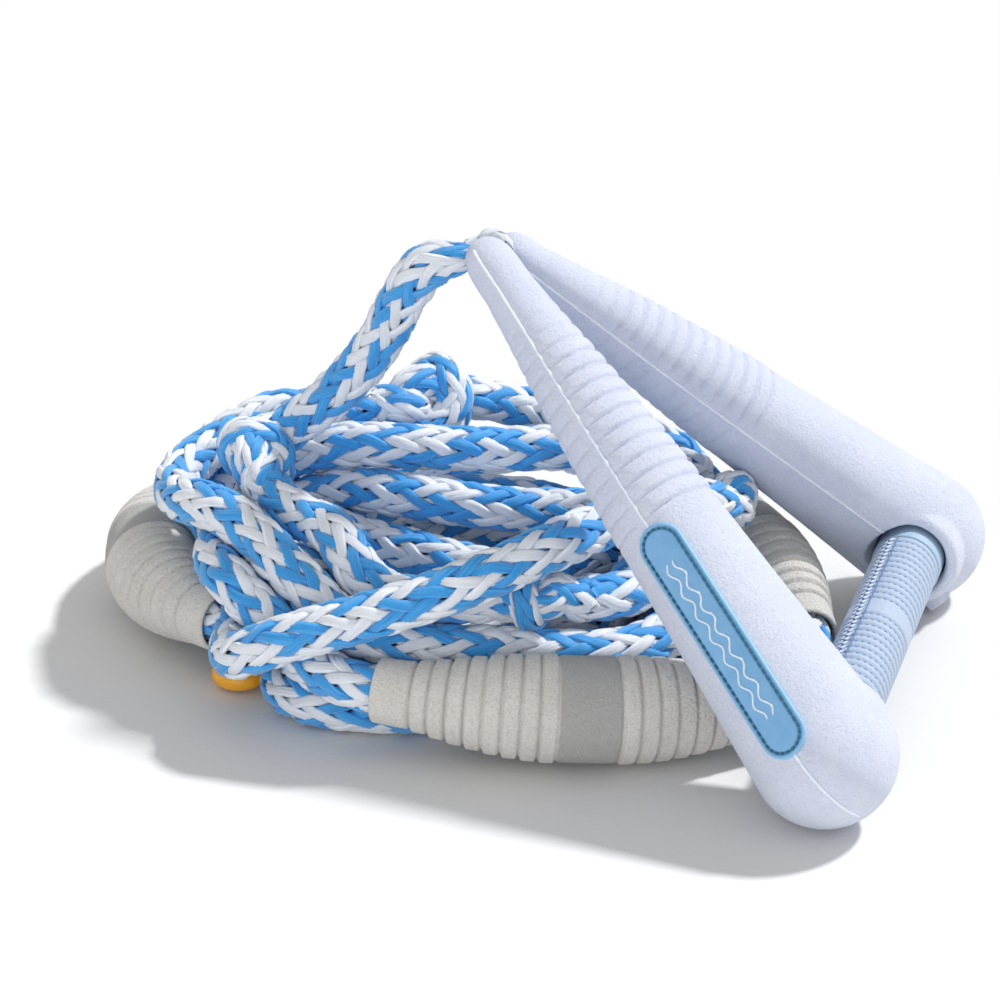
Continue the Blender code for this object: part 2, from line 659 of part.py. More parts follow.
def knot_lump(name, centre, along, radius):
    """A knot's bulk: a rounded lump, a little shorter along the rope than across it."""
    side = np.cross(along, (0.0, 0.0, 1.0))
    side = side / np.linalg.norm(side)
    up = np.cross(side, along)
    rings = []
    for lat in (-75, -50, -25, 0, 25, 50, 75):
        a = math.radians(lat)
        ring_points = []
        for k in range(12):
            b = 2 * math.pi * k / 12
            r = radius * math.cos(a)
            ring_points.append(centre + along * (radius * 0.95 * math.sin(a))
                               + side * (r * math.cos(b)) + up * (r * math.sin(b)))
        rings.append(ring_points)
    points, faces = loft(rings)
    add_mesh(name, points, faces, "rope_blue_white")


def trim(path, centre, clear):
    """The part of a path that stays outside a ball, for a path that starts or ends inside it."""
    keep = np.linalg.norm(path - centre, axis=1) > clear
    return path[keep]


def build_rope():
    """Lead, knots and rope runs, from the laid-out centre line."""
    line, kind = lay_rope()
    kind = np.array(kind)
    centres = {}
    for name in KNOT_SPACE:
        ids = np.where(kind == name)[0]
        centre = line[ids].mean(axis=0)
        along = line[ids[-1] + 1] - line[ids[0] - 1]
        centres[name] = (centre, ids)
        knot_lump(name, centre, along / np.linalg.norm(along), KNOT_SPACE[name])
    order = ["knot_lead", "knot_mid", "knot_top", "knot_right"]
    for i, name in enumerate(order):
        first = centres[name][1][-1] + 1
        last = centres[order[i + 1]][1][0] if i + 1 < len(order) else len(line)
        run = trim(line[first:last], centres[name][0], KNOT_SPACE[name] + 2 * GAP)
        if i + 1 < len(order):
            run = trim(run, centres[order[i + 1]][0], KNOT_SPACE[order[i + 1]] + 2 * GAP)
        run = thin_out(run, 2)
        rope_tube("rope_run_" + str(i + 1), run, [ROPE_R] * len(run))
    return line, kind, centres


def build_lead(line, kind, centres):
    """The lead from its round end at the knot to the spliced eye at the apex."""
    ids = np.where(kind == "lead")[0]
    knot = centres["knot_lead"][0]
    path = line[ids]
    start = EYE_AT + LEAD_DIR * (EYE_MAJOR + EYE_SHIFT + EYE_MINOR + EYE_CLEAR)
    path = path[np.linalg.norm(path - EYE_AT, axis=1) > np.linalg.norm(start - EYE_AT) + 0.004]
    path = trim(path, knot, KNOT_SPACE["knot_lead"] + ROPE_R + 2 * GAP)
    path = np.vstack([start, thin_out(path, 2)])
    end = path[-1]
    down = path[-1] - path[-2]
    down = down / np.linalg.norm(down)
    cap = [end + down * (ROPE_R * math.sin(math.radians(a))) for a in (25, 50, 75)]
    cap_r = [ROPE_R * math.cos(math.radians(a)) for a in (25, 50, 75)]
    radii = [0.0050, 0.0095] + [ROPE_R] * (len(path) - 2) + cap_r
    rope_tube("lead_rope", np.vstack([path, cap]), radii, end)
    eye = EYE_AT + LEAD_DIR * EYE_SHIFT
    up = np.cross(BAR_DIR, LEAD_DIR)
    up = up / np.linalg.norm(up)
    away = np.cross(up, BAR_DIR)
    ring_path = np.array([eye + EYE_MAJOR * (math.cos(a) * away + math.sin(a) * up)
                          for a in (2 * math.pi * k / 20 for k in range(20))])
    rings = tube_rings(ring_path, [EYE_MINOR] * 20, ROPE_SIDES, closed=True, first=BAR_DIR)
    points, faces = loft(rings, closed=True)
    add_mesh("lead_eye", points, faces, "rope_blue_white", end)
    return end


def build_floats():
    for name in FLOATS:
        half = FLOAT_LENGTH / 2
        edges = [-half, -half + 0.0012]
        count = 12
        edges += [-half + 0.0012 + (2 * half - 0.0024) * k / count for k in range(1, count)]
        edges += [half - 0.0012, half]
        path = np.array([float_point(name, d) for d in edges])
        outer = [float_radius(d) for d in edges]
        outer[0] -= 0.0012
        outer[-1] -= 0.0012
        inner = [FLOAT_BORE_R] * len(edges)
        pipe("float_" + name, path, outer, inner, FLOAT_SIDES, "float_grey", FLOATS[name][0])


def build_boat_loop():
    """The spliced loop that goes on the boat's tow point, with the bright sleeve that protects it."""
    along = (LOOP_TIP - LOOP_ROOT) / np.linalg.norm(LOOP_TIP - LOOP_ROOT)
    side = np.cross((0.0, 0.0, 1.0), along)
    length = np.linalg.norm(LOOP_TIP - LOOP_ROOT) - LOOP_HALF_WIDTH
    path = []
    for k in range(7):
        a = math.radians(90 - 30 * k)
        ahead = along * (length + LOOP_HALF_WIDTH * math.cos(a))
        path.append(LOOP_ROOT + ahead + side * (LOOP_HALF_WIDTH * math.sin(a)))
    bow = np.array(path)
    left = LOOP_ROOT + along * 0.004 + side * LOOP_HALF_WIDTH * 0.8
    right = LOOP_ROOT + along * 0.004 - side * LOOP_HALF_WIDTH * 0.8
    sleeve_path = np.vstack([left + along * 0.004, bow, right + along * 0.004])
    pipe("loop_sleeve", sleeve_path, [SLEEVE_R] * len(sleeve_path), [LOOP_R + GAP] * len(sleeve_path), 10,
         "sleeve_orange")
    root = LOOP_ROOT - along * 0.004
    closed = np.vstack([left, sleeve_path, right, root])
    rings = tube_rings(closed, [LOOP_R] * len(closed), ROPE_SIDES, closed=True, first=(0.0, 0.0, 1.0))
    points, faces = loft(rings, closed=True)
    add_mesh("boat_loop", points, faces, "rope_blue_white")


clear_scene()
build_handle()
build_bar()
laid, kinds, knots = build_rope()
lead_pivot = build_lead(laid, kinds, knots)
build_floats()
build_boat_loop()
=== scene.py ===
"""Looks of the surf tow rope and handle: braided rope with real strands and knots, ribbed foam floats,
moulded foam arms with stitched badges, and a stitched, laced bar wrap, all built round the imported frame.
Units are metres, +Z is up and the floor is z = 0.
"""

import math

import bmesh
import bpy
import numpy as np
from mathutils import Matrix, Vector
from mathutils.bvhtree import BVHTree


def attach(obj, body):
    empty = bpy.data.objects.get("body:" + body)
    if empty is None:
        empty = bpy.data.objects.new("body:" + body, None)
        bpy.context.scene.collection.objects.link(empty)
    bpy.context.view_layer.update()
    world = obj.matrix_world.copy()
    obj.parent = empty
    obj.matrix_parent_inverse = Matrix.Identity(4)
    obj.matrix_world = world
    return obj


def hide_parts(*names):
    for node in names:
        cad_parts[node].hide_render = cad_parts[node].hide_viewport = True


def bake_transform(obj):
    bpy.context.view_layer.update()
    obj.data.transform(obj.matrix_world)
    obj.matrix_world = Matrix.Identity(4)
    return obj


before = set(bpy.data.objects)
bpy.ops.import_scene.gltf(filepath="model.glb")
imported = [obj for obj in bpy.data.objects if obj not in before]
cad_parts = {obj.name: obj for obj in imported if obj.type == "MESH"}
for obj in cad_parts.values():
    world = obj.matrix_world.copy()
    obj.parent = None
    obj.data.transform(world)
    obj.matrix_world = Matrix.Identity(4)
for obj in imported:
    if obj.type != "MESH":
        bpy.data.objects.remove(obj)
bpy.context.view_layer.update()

PLACE = Vector((-0.02215, 0.01989, 0.0))        # from the point under the apex to the middle of the footprint

# ---- handle ----------------------------------------------------------------------
BULB_NEAR = np.array([0.137, -0.177, 0.0314])    # centre of each arm's rounded end, where the bar plugs in
BULB_FAR = np.array([0.205, 0.045, 0.0314])
APEX = np.array([0.001, -0.009, 0.193])          # between the tips of the two arms
TIP_OFFSET = 0.0125                              # each tip's distance from the middle of the handle
TIP_SETBACK = 0.0005                             # how far the foam stops short of the apex
ARM_AT = [0.0, 0.05, 0.314, 0.48, 0.775, 1.0]    # share of the arm's length, from its tip
ARM_R = [0.0084, 0.0120, 0.0193, 0.0230, 0.0277, 0.0320]
PARTING_TURN = 9.0                               # degrees that the moulds part off the handle's plane
BULB_R = 0.0320
SOCKET_R = 0.0175
SOCKET_FLOOR = 0.0110                            # distance of the socket's floor from the bulb's centre
SOCKET_CUT = 0.062                               # how far the socket's bore runs out through the arm's flank
BRIDLE_R = 0.0040
BADGE_FROM = 0.145                               # from the arm's tip to the badge's upper end
BADGE_LENGTH = 0.118
BADGE_WIDTH = 0.0215
GAP = 0.0003                                     # clearance between neighbouring pieces

# ---- bar -------------------------------------------------------------------------
BAR_END = 0.0132                                 # distance of the bar's ends from the bulbs' centres
CUSHION_R = 0.0146
WRAP_R = 0.0160
CUFF_R = 0.0166
CUFF_LENGTH = 0.026
LACING_WIDTH = 0.006

# ---- rope, knots and floats ------------------------------------------------------
ROPE_SPACE = 0.0112                              # half the least distance between two turns
ROPE_PITCH = 0.0080                              # spacing of the points that the rope is laid out on
FLOAT_LENGTH = 0.186
FLOAT_END_R = 0.0145
FLOAT_FAT_R = 0.0240
FLOAT_BORE_R = 0.0128
FLOAT_COLLAR = 0.017
FLOAT_BAND = 0.013                               # half the length of the straight middle band
FLOAT_SLIDE = 0.008                              # rope laid on the float's own arc past each of its ends
COIL_CENTRE_X = -0.015

# middle, heading of the rope through it in degrees, bend radius, rise per metre
FLOATS = {
    "front": ((0.038, -0.1250, 0.0250), 4.0, 0.30, -0.06),
    "right": ((0.1195, 0.044, 0.0255), 115.0, 0.25, 0.05),
    "left": ((-0.168, 0.032, 0.0255), 276.0, 0.13, 0.055),
}
KNOT_SPACE = {"knot_lead": 0.0165, "knot_mid": 0.0135, "knot_top": 0.0205, "knot_right": 0.0175}

# ---- loop at the boat end --------------------------------------------------------
LOOP_ROOT = np.array([-0.1140, -0.0420, 0.0060])
LOOP_TIP = np.array([-0.1250, -0.0600, 0.0060])
LOOP_R = 0.0046
SLEEVE_R = 0.0058
LOOP_HALF_WIDTH = 0.0085

BAR_DIR = (BULB_FAR - BULB_NEAR) / np.linalg.norm(BULB_FAR - BULB_NEAR)
BULB_MIDDLE = (BULB_NEAR + BULB_FAR) / 2
UP_HANDLE = (APEX - BULB_MIDDLE) / np.linalg.norm(APEX - BULB_MIDDLE)
NORMAL = np.cross(BAR_DIR, UP_HANDLE) / np.linalg.norm(np.cross(BAR_DIR, UP_HANDLE))
EYE_AT = APEX + UP_HANDLE * 0.007                # the bridle's bend at the apex, which the handle turns about


def ring(angle, radius, height):
    """A point by its angle round the coil (degrees), radius and height (millimetres)."""
    a = math.radians(angle)
    r = radius * 0.001
    return (COIL_CENTRE_X + r * math.cos(a), r * math.sin(a), height * 0.001)


def at(x, y, z):
    """A point given in millimetres."""
    return (x * 0.001, y * 0.001, z * 0.001)


def float_point(name, along):
    """A point on a float's axis, along metres from its middle."""
    (mx, my, mz), heading, radius, rise = FLOATS[name]
    h = math.radians(heading)
    a = along / radius
    x = radius * math.sin(a)
    y = radius * (1.0 - math.cos(a))
    return (mx + x * math.cos(h) - y * math.sin(h), my + x * math.sin(h) + y * math.cos(h), mz + rise * along)


def float_run(name):
    """The rope's points through a float and just past both of its ends."""
    half = FLOAT_LENGTH / 2 + FLOAT_SLIDE
    return [float_point(name, -half + 2 * half * i / 24) for i in range(25)]


def rope_lay():
    """The rope from the handle to its boat end, as (kind, points) runs in the order it was coiled."""
    return [
        ("lead", [at(-17, -12, 195), at(-32, -8, 190), at(-44, 0, 172), at(-56, 9, 146), at(-76, 16, 119),
                  at(-98, 21, 99)]),
        ("knot_lead", [at(-116, 12, 78), at(-117, 0, 66)]),
        ("rope", [at(-108, -20, 60), ring(207, 84, 57), ring(228, 82, 51), ring(248, 86, 48),
                  ring(268, 88, 48)]),
        ("knot_mid", [ring(286, 90, 54), ring(297, 90, 54)]),
        ("rope", [ring(318, 96, 52), ring(340, 102, 54), ring(2, 98, 58), ring(28, 98, 62),
                  ring(55, 104, 68), ring(75, 106, 75)]),
        ("knot_top", [ring(94, 88, 87), ring(110, 86, 89)]),
        ("rope", [
            ring(126, 92, 83), ring(142, 102, 78), ring(156, 124, 72), ring(169, 142, 64),
            ring(184, 128, 60), ring(202, 110, 56), ring(220, 102, 51), ring(240, 104, 43),
            ring(262, 104, 35), ring(288, 106, 33), ring(312, 112, 33), ring(338, 112, 35), ring(2, 98, 41),
            at(60, 20, 49), at(29, 22, 53), at(-10, 22, 57), at(-45, 28, 60), at(-76, 38, 58),
            at(-105, 44, 50), at(-134, 28, 40), ring(188, 128, 36), ring(206, 122, 33), ring(222, 120, 31),
            at(-86, -98, 30)]),
        ("float_front", float_run("front")),
        ("rope", [at(137, -80, 22)]),
        ("float_right", float_run("right")),
        ("rope", [at(34, 152, 32), at(0, 158, 26), at(-40, 158, 20), at(-85, 150, 18), at(-122, 138, 20)]),
        ("float_left", float_run("left")),
        ("rope", [ring(221, 127, 33), ring(233, 123, 45), ring(245, 118, 58), ring(257, 114, 69),
                  ring(270, 106, 77), ring(286, 97, 82), ring(308, 84, 83), at(62, -36, 80),
                  at(86, -16, 72)]),
        ("knot_right", [at(101, 2, 63), at(104, 20, 59)]),
        ("rope", [
            at(90, 46, 61), at(58, 58, 67), at(24, 54, 73), at(-10, 46, 77), at(-40, 42, 79),
            at(-70, 46, 77), at(-100, 54, 70), at(-130, 50, 56), at(-148, 30, 44), at(-150, 0, 36),
            ring(202, 118, 25), ring(222, 98, 15), ring(245, 84, 12), ring(270, 78, 12), ring(300, 80, 12),
            ring(330, 88, 12), ring(355, 96, 13), at(70, 24, 20), at(40, 6, 28), at(-9, -2, 35),
            at(-38, 8, 39), at(-67, 20, 42), at(-96, 22, 40), at(-118, 2, 34), at(-116, -32, 32),
            ring(225, 88, 31), ring(250, 82, 31), ring(280, 82, 31), ring(310, 80, 33), ring(340, 76, 34),
            ring(10, 80, 34), ring(40, 84, 34), ring(70, 88, 34), ring(100, 86, 34), ring(130, 84, 34),
            ring(158, 88, 32), at(-112, 2, 26), at(-116, -34, 17), at(-92, -54, 12), ring(243, 62, 11),
            ring(270, 56, 11), ring(300, 58, 11), ring(330, 64, 11), ring(0, 74, 11), ring(30, 84, 11),
            ring(60, 90, 11), ring(90, 98, 11), ring(120, 100, 11), ring(150, 98, 11), ring(180, 98, 11),
            ring(200, 104, 11), ring(218, 112, 11), ring(236, 108, 11), ring(254, 100, 11),
            ring(275, 98, 11), ring(300, 104, 11), ring(330, 122, 11), ring(355, 112, 11),
            ring(20, 112, 11), ring(45, 118, 11), ring(75, 124, 11), ring(105, 126, 11), ring(135, 122, 11),
            ring(158, 114, 11), at(-124, 12, 11), at(-116, -10, 11), at(-112, -30, 11)]),
    ]


def smooth_curve(points, steps):
    """A centripetal Catmull-Rom curve through the points, and the index of the point before each sample."""
    p = np.array(points)
    p = np.vstack([2 * p[0] - p[1], p, 2 * p[-1] - p[-2]])
    knots = np.concatenate([[0.0], np.cumsum(np.sqrt(np.linalg.norm(np.diff(p, axis=0), axis=1)))])
    samples = []
    before = []
    for i in range(1, len(p) - 2):
        t0, t1, t2, t3 = knots[i - 1:i + 3]
        t = np.linspace(t1, t2, steps, endpoint=False)[:, None]
        a1 = (t1 - t) / (t1 - t0) * p[i - 1] + (t - t0) / (t1 - t0) * p[i]
        a2 = (t2 - t) / (t2 - t1) * p[i] + (t - t1) / (t2 - t1) * p[i + 1]
        a3 = (t3 - t) / (t3 - t2) * p[i + 1] + (t - t2) / (t3 - t2) * p[i + 2]
        b1 = (t2 - t) / (t2 - t0) * a1 + (t - t0) / (t2 - t0) * a2
        b2 = (t3 - t) / (t3 - t1) * a2 + (t - t1) / (t3 - t1) * a3
        samples.append((t2 - t) / (t2 - t1) * b1 + (t - t1) / (t2 - t1) * b2)
        before += [i - 1] * steps
    samples.append(p[-2:-1])
    return np.vstack(samples), before + [len(p) - 3]


def handle_obstacles():
    """Centres and radii of balls that fill the handle's arms and bar, which the coil stays clear of."""
    centres = []
    radii = []
    for end, side in ((BULB_NEAR, -1.0), (BULB_FAR, 1.0)):
        tip = APEX + BAR_DIR * (TIP_OFFSET * side)
        for u in np.linspace(0.0, 1.0, 40):
            centres.append(tip + (end - tip) * u)
            radii.append(np.interp(u, ARM_AT, ARM_R))
    for u in np.linspace(0.0, 1.0, 30):
        centres.append(BULB_NEAR + (BULB_FAR - BULB_NEAR) * u)
        radii.append(0.017)
    for u in np.linspace(0.0, 1.0, 8):
        centres.append(np.array(at(-114 - 22 * u, -42 - 33 * u, 6)))
        radii.append(0.012)
    return np.array(centres), np.array(radii)


def lay_rope():
    """The rope's centre line as points, and each point's kind, with the turns pushed clear of each other."""
    runs = rope_lay()
    control = [p for _, points in runs for p in points]
    kinds = [kind for kind, points in runs for _ in points]
    fine, before = smooth_curve(control, 12)
    along = np.concatenate([[0.0], np.cumsum(np.linalg.norm(np.diff(fine, axis=0), axis=1))])
    count = int(round(along[-1] / ROPE_PITCH))
    t = np.linspace(0.0, along[-1], count + 1)
    x = np.stack([np.interp(t, along, fine[:, k]) for k in range(3)], 1)
    kind = []
    for i in np.clip(np.searchsorted(along, t, side="right") - 1, 0, len(before) - 1):
        a = kinds[before[i]]
        b = kinds[min(before[i] + 1, len(kinds) - 1)]
        kind.append(a if a == b else ("lead" if a == "lead" else "rope"))
    free = np.array([0.0 if k.startswith("float") or k == "lead" else 1.0 for k in kind])
    free[-2:] = 0.0
    lead_end = max(i for i, k in enumerate(kind) if k == "lead")
    free[lead_end - 5:lead_end + 1] = 1.0
    space = np.full(len(x), ROPE_SPACE)
    for i, k in enumerate(kind):
        if k in KNOT_SPACE:
            space[i] = KNOT_SPACE[k]
    for name in FLOATS:
        ids = [i for i, k in enumerate(kind) if k == "float_" + name]
        for i in ids:
            u = abs(2.0 * (i - ids[0]) / (ids[-1] - ids[0]) - 1.0)
            space[i] = float_radius(u * (FLOAT_LENGTH / 2 + FLOAT_SLIDE)) + 0.0012
    balls, ball_r = handle_obstacles()
    start = x.copy()
    length = np.linalg.norm(np.diff(x, axis=0), axis=1)
    first, second = np.triu_indices(len(x), 4)
    apart = (second - first) * ROPE_PITCH > np.maximum(0.030, (space[first] + space[second]) * 1.3)
    first = first[apart]
    second = second[apart]
    need = space[first] + space[second]
    rounds = 320
    for turn in range(rounds):
        if turn % 8 == 0:
            near = np.linalg.norm(x[second] - x[first], axis=1) < need + 0.012
            fi = first[near]
            se = second[near]
            ne = need[near]
        ease = 1.0 - turn / rounds
        mean = np.zeros_like(x)
        mean[1:-1] = (x[:-2] + x[2:]) / 2 - x[1:-1]
        stiff = np.zeros_like(x)
        stiff[1:-1] = (mean[:-2] + mean[2:]) / 2 - mean[1:-1]
        x += (-0.2 * stiff + 0.02 * ease * mean + 0.012 * ease * (start - x)) * free[:, None]
        for parity in (0, 1):
            a = np.arange(parity, len(x) - 1, 2)
            d = x[a + 1] - x[a]
            l = np.linalg.norm(d, axis=1)
            share = 0.5 * (l - length[a]) / l / np.maximum(free[a] + free[a + 1], 1e-9)
            x[a] += d * (share * free[a])[:, None]
            x[a + 1] -= d * (share * free[a + 1])[:, None]
        for _ in range(2):
            d = x[se] - x[fi]
            l = np.linalg.norm(d, axis=1)
            hit = (l < ne) & (free[fi] + free[se] > 0)
            i = fi[hit]
            j = se[hit]
            push = d[hit] * ((ne[hit] - l[hit]) / l[hit] / (free[i] + free[j]))[:, None]
            move = np.zeros_like(x)
            hits = np.zeros(len(x))
            np.add.at(move, i, -push * free[i][:, None])
            np.add.at(move, j, push * free[j][:, None])
            np.add.at(hits, i, 1.0)
            np.add.at(hits, j, 1.0)
            x += move / np.maximum(hits, 1.0)[:, None] * 1.1
        d = x[:, None, :] - balls[None]
        l = np.linalg.norm(d, axis=2)
        deep = np.clip(space[:, None] + ball_r[None] + 0.001 - l, 0.0, None)
        worst = deep.argmax(1)
        rows = np.arange(len(x))
        x += d[rows, worst] * (deep[rows, worst] / l[rows, worst] * free)[:, None]
        x[:, 2] += np.clip(space - x[:, 2], 0.0, None) * free
    return x, kind


def float_radius(along):
    """A float's radius at a distance along its axis from its middle."""
    d = abs(along)
    half = FLOAT_LENGTH / 2
    if d > half - FLOAT_COLLAR:
        return FLOAT_END_R
    u = min(1.0, max(0.0, (half - FLOAT_COLLAR - d) / (half - FLOAT_COLLAR - FLOAT_BAND)))
    return FLOAT_END_R + 0.0008 + (FLOAT_FAT_R - FLOAT_END_R - 0.0008) * math.sin(u * math.pi / 2) ** 1.1


# ---- braided rope, knots and the lead's eye --------------------------------------
ROPE_OUTER = 0.0114                              # outer radius of the braid
ROPE_LAY = 0.138                                 # length in which a strand goes once round the rope
LEAD_END_R = 0.0050                              # of the lead where it is spliced to its eye
LEAD_TAPER = 0.024                               # length in which the lead reaches its full thickness
ROPE_STRANDS = 10                                # strands laid each way round
ROPE_STEP = 0.0025                               # spacing of the braid's rings
# number and way of each blue strand
BLUE_STRANDS = {(0, 1.0), (1, 1.0), (4, 1.0), (5, 1.0), (8, 1.0), (0, -1.0), (3, -1.0), (6, -1.0), (7, -1.0)}
# the rope's outer radius where it is squeezed in each knot
KNOT_ROPE = {"knot_lead": 0.0092, "knot_mid": 0.0082, "knot_top": 0.0102, "knot_right": 0.0090}
KNOT_OVER = 0.0042                               # how far a knot may stand out of its space in the frame
# degrees that each knot's face is turned about the rope
KNOT_TURN = {"knot_lead": 20.0, "knot_mid": 0.0, "knot_top": -15.0, "knot_right": 40.0}
KNOT_EASE = 7                                    # rounds of smoothing of the rope in the knots
# an overhand knot's control points, in knot sizes: along the rope, sideways and towards its face
OVERHAND = [(-1.25, -0.30, -0.35), (-0.70, -0.30, -0.62), (0.15, -0.42, 0.62), (1.00, -0.15, 0.30),
            (1.15, 0.62, -0.62), (0.25, 1.25, -0.20), (-0.80, 0.85, 0.15), (-0.85, -0.25, 0.62),
            (-0.40, -1.20, 0.10), (0.15, -0.42, -0.62), (0.60, 0.30, -0.10), (1.10, 0.62, 0.62),
            (1.45, 0.10, 0.2)]
TOWARDS_VIEW = np.array([0.0, -0.80, 0.60])      # where the knots show their faces

EYE_TURN_R = 0.0066                              # of the eye's rope about the bridle
EYE_R = 0.0032                                   # of the eye's own rope


# ---- mesh helpers ----------------------------------------------------------------


def new_object(name, points, faces, body, attributes=None, smooth=True):
    """A mesh from arrays, with float attributes on its points, riding on a body."""
    mesh = bpy.data.meshes.new(name)
    points = (np.asarray(points, float).reshape(-1, 3) + np.array(PLACE)).astype(np.float32)
    faces = np.asarray(faces, np.int32)
    mesh.vertices.add(len(points))
    mesh.vertices.foreach_set("co", points.ravel())
    sides = faces.shape[1]
    mesh.loops.add(faces.size)
    mesh.loops.foreach_set("vertex_index", faces.ravel())
    mesh.polygons.add(len(faces))
    mesh.polygons.foreach_set("loop_start", np.arange(0, faces.size, sides, dtype=np.int32))
    mesh.polygons.foreach_set("use_smooth", np.full(len(faces), smooth))
    mesh.update(calc_edges=True)
    for key, values in (attributes or {}).items():
        layer = mesh.attributes.new(key, "FLOAT", "POINT")
        layer.data.foreach_set("value", np.asarray(values, np.float32).ravel())
    obj = bpy.data.objects.new(name, mesh)
    bpy.context.scene.collection.objects.link(obj)
    if body:
        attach(obj, body)
    return obj


def dress(obj, slot_name, finish, *nodes):
    """Gives a piece its finish and hides the frame's nodes that it stands for; slot_name is not used."""
    if nodes:
        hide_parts(*nodes)
    obj.data.materials.append(finish)


def grid_faces(rows, sides, wrap_rows=False, wrap_sides=True):
    """Quads over a grid of points, rows by sides, numbered row by row."""
    r = np.arange(rows if wrap_rows else rows - 1)
    s = np.arange(sides if wrap_sides else sides - 1)
    rr, ss = np.meshgrid(r, s, indexing="ij")
    nr = (rr + 1) % rows
    ns = (ss + 1) % sides
    return np.stack([rr * sides + ss, rr * sides + ns, nr * sides + ns, nr * sides + ss], -1).reshape(-1, 4)


def cap_faces(first, sides):
    """Quads that close an outline of an even number of points, in strips from one side to the other."""
    return [[first + i, first + i + 1, first + sides - 2 - i, first + sides - 1 - i]
            for i in range(sides // 2 - 1)]


def end_caps(rows, sides):
    """Quads that close both ends of a tube made of rings."""
    last = [[q[0], q[3], q[2], q[1]] for q in cap_faces((rows - 1) * sides, sides)]
    return np.array(cap_faces(0, sides) + last)


def unit(v):
    v = np.asarray(v, float)
    return v / np.linalg.norm(v, axis=-1, keepdims=True)


def tube_frames(path, first=(0.0, 0.0, 1.0)):
    """Unit tangents and two normals along a path, turned as little as possible."""
    t = unit(np.gradient(path, axis=0))
    side = np.array(first, float)
    normals = np.empty_like(path)
    for i, direction in enumerate(t):
        side = side - direction * side.dot(direction)
        side = side / np.linalg.norm(side)
        normals[i] = side
    return t, normals, np.cross(t, normals)


def round_turn(n, b, sides):
    """Directions all round a path, from its two normals, as rows by sides."""
    a = 2 * math.pi * np.arange(sides) / sides
    return n[:, None] * np.cos(a)[None, :, None] + b[:, None] * np.sin(a)[None, :, None]


def closed_tube(path, radius, up, sides):
    """Points and faces of a thin tube with closed ends, along a path."""
    _, n, b = tube_frames(path, up)
    points = path[:, None] + radius[:, None, None] * round_turn(n, b, sides)
    faces = np.vstack([grid_faces(len(path), sides), end_caps(len(path), sides)])[:, ::-1]
    return points.reshape(-1, 3), faces


def resample(path, step, *values):
    """Points of a path at equal distances, with the other values along it."""
    along = np.concatenate([[0.0], np.cumsum(np.linalg.norm(np.diff(path, axis=0), axis=1))])
    count = max(2, int(round(along[-1] / step)) + 1)
    t = np.linspace(0.0, along[-1], count)
    out = np.stack([np.interp(t, along, path[:, k]) for k in range(3)], 1)
    return [out, t] + [np.interp(t, along, v) for v in values]


# ---- braid -----------------------------------------------------------------------

# a strand's section: across it and out of the rope, in half widths and half thicknesses
SECTION_U = np.array([-1.0, -0.64, -0.30, 0.0, 0.30, 0.64, 1.0, 0.55, 0.0, -0.55])
SECTION_V = np.array([0.0, 0.80, 0.66, 1.0, 0.66, 0.80, 0.0, -0.75, -0.8, -0.75])
STRAND_AT = 0.765                                # middle radius of the strands, in rope radii
STRAND_SWAY = 0.095                              # how far they go over and under each other
STRAND_LIFT = 0.022                              # how far they stand up unevenly
STRAND_HALF = 0.135                              # half their thickness


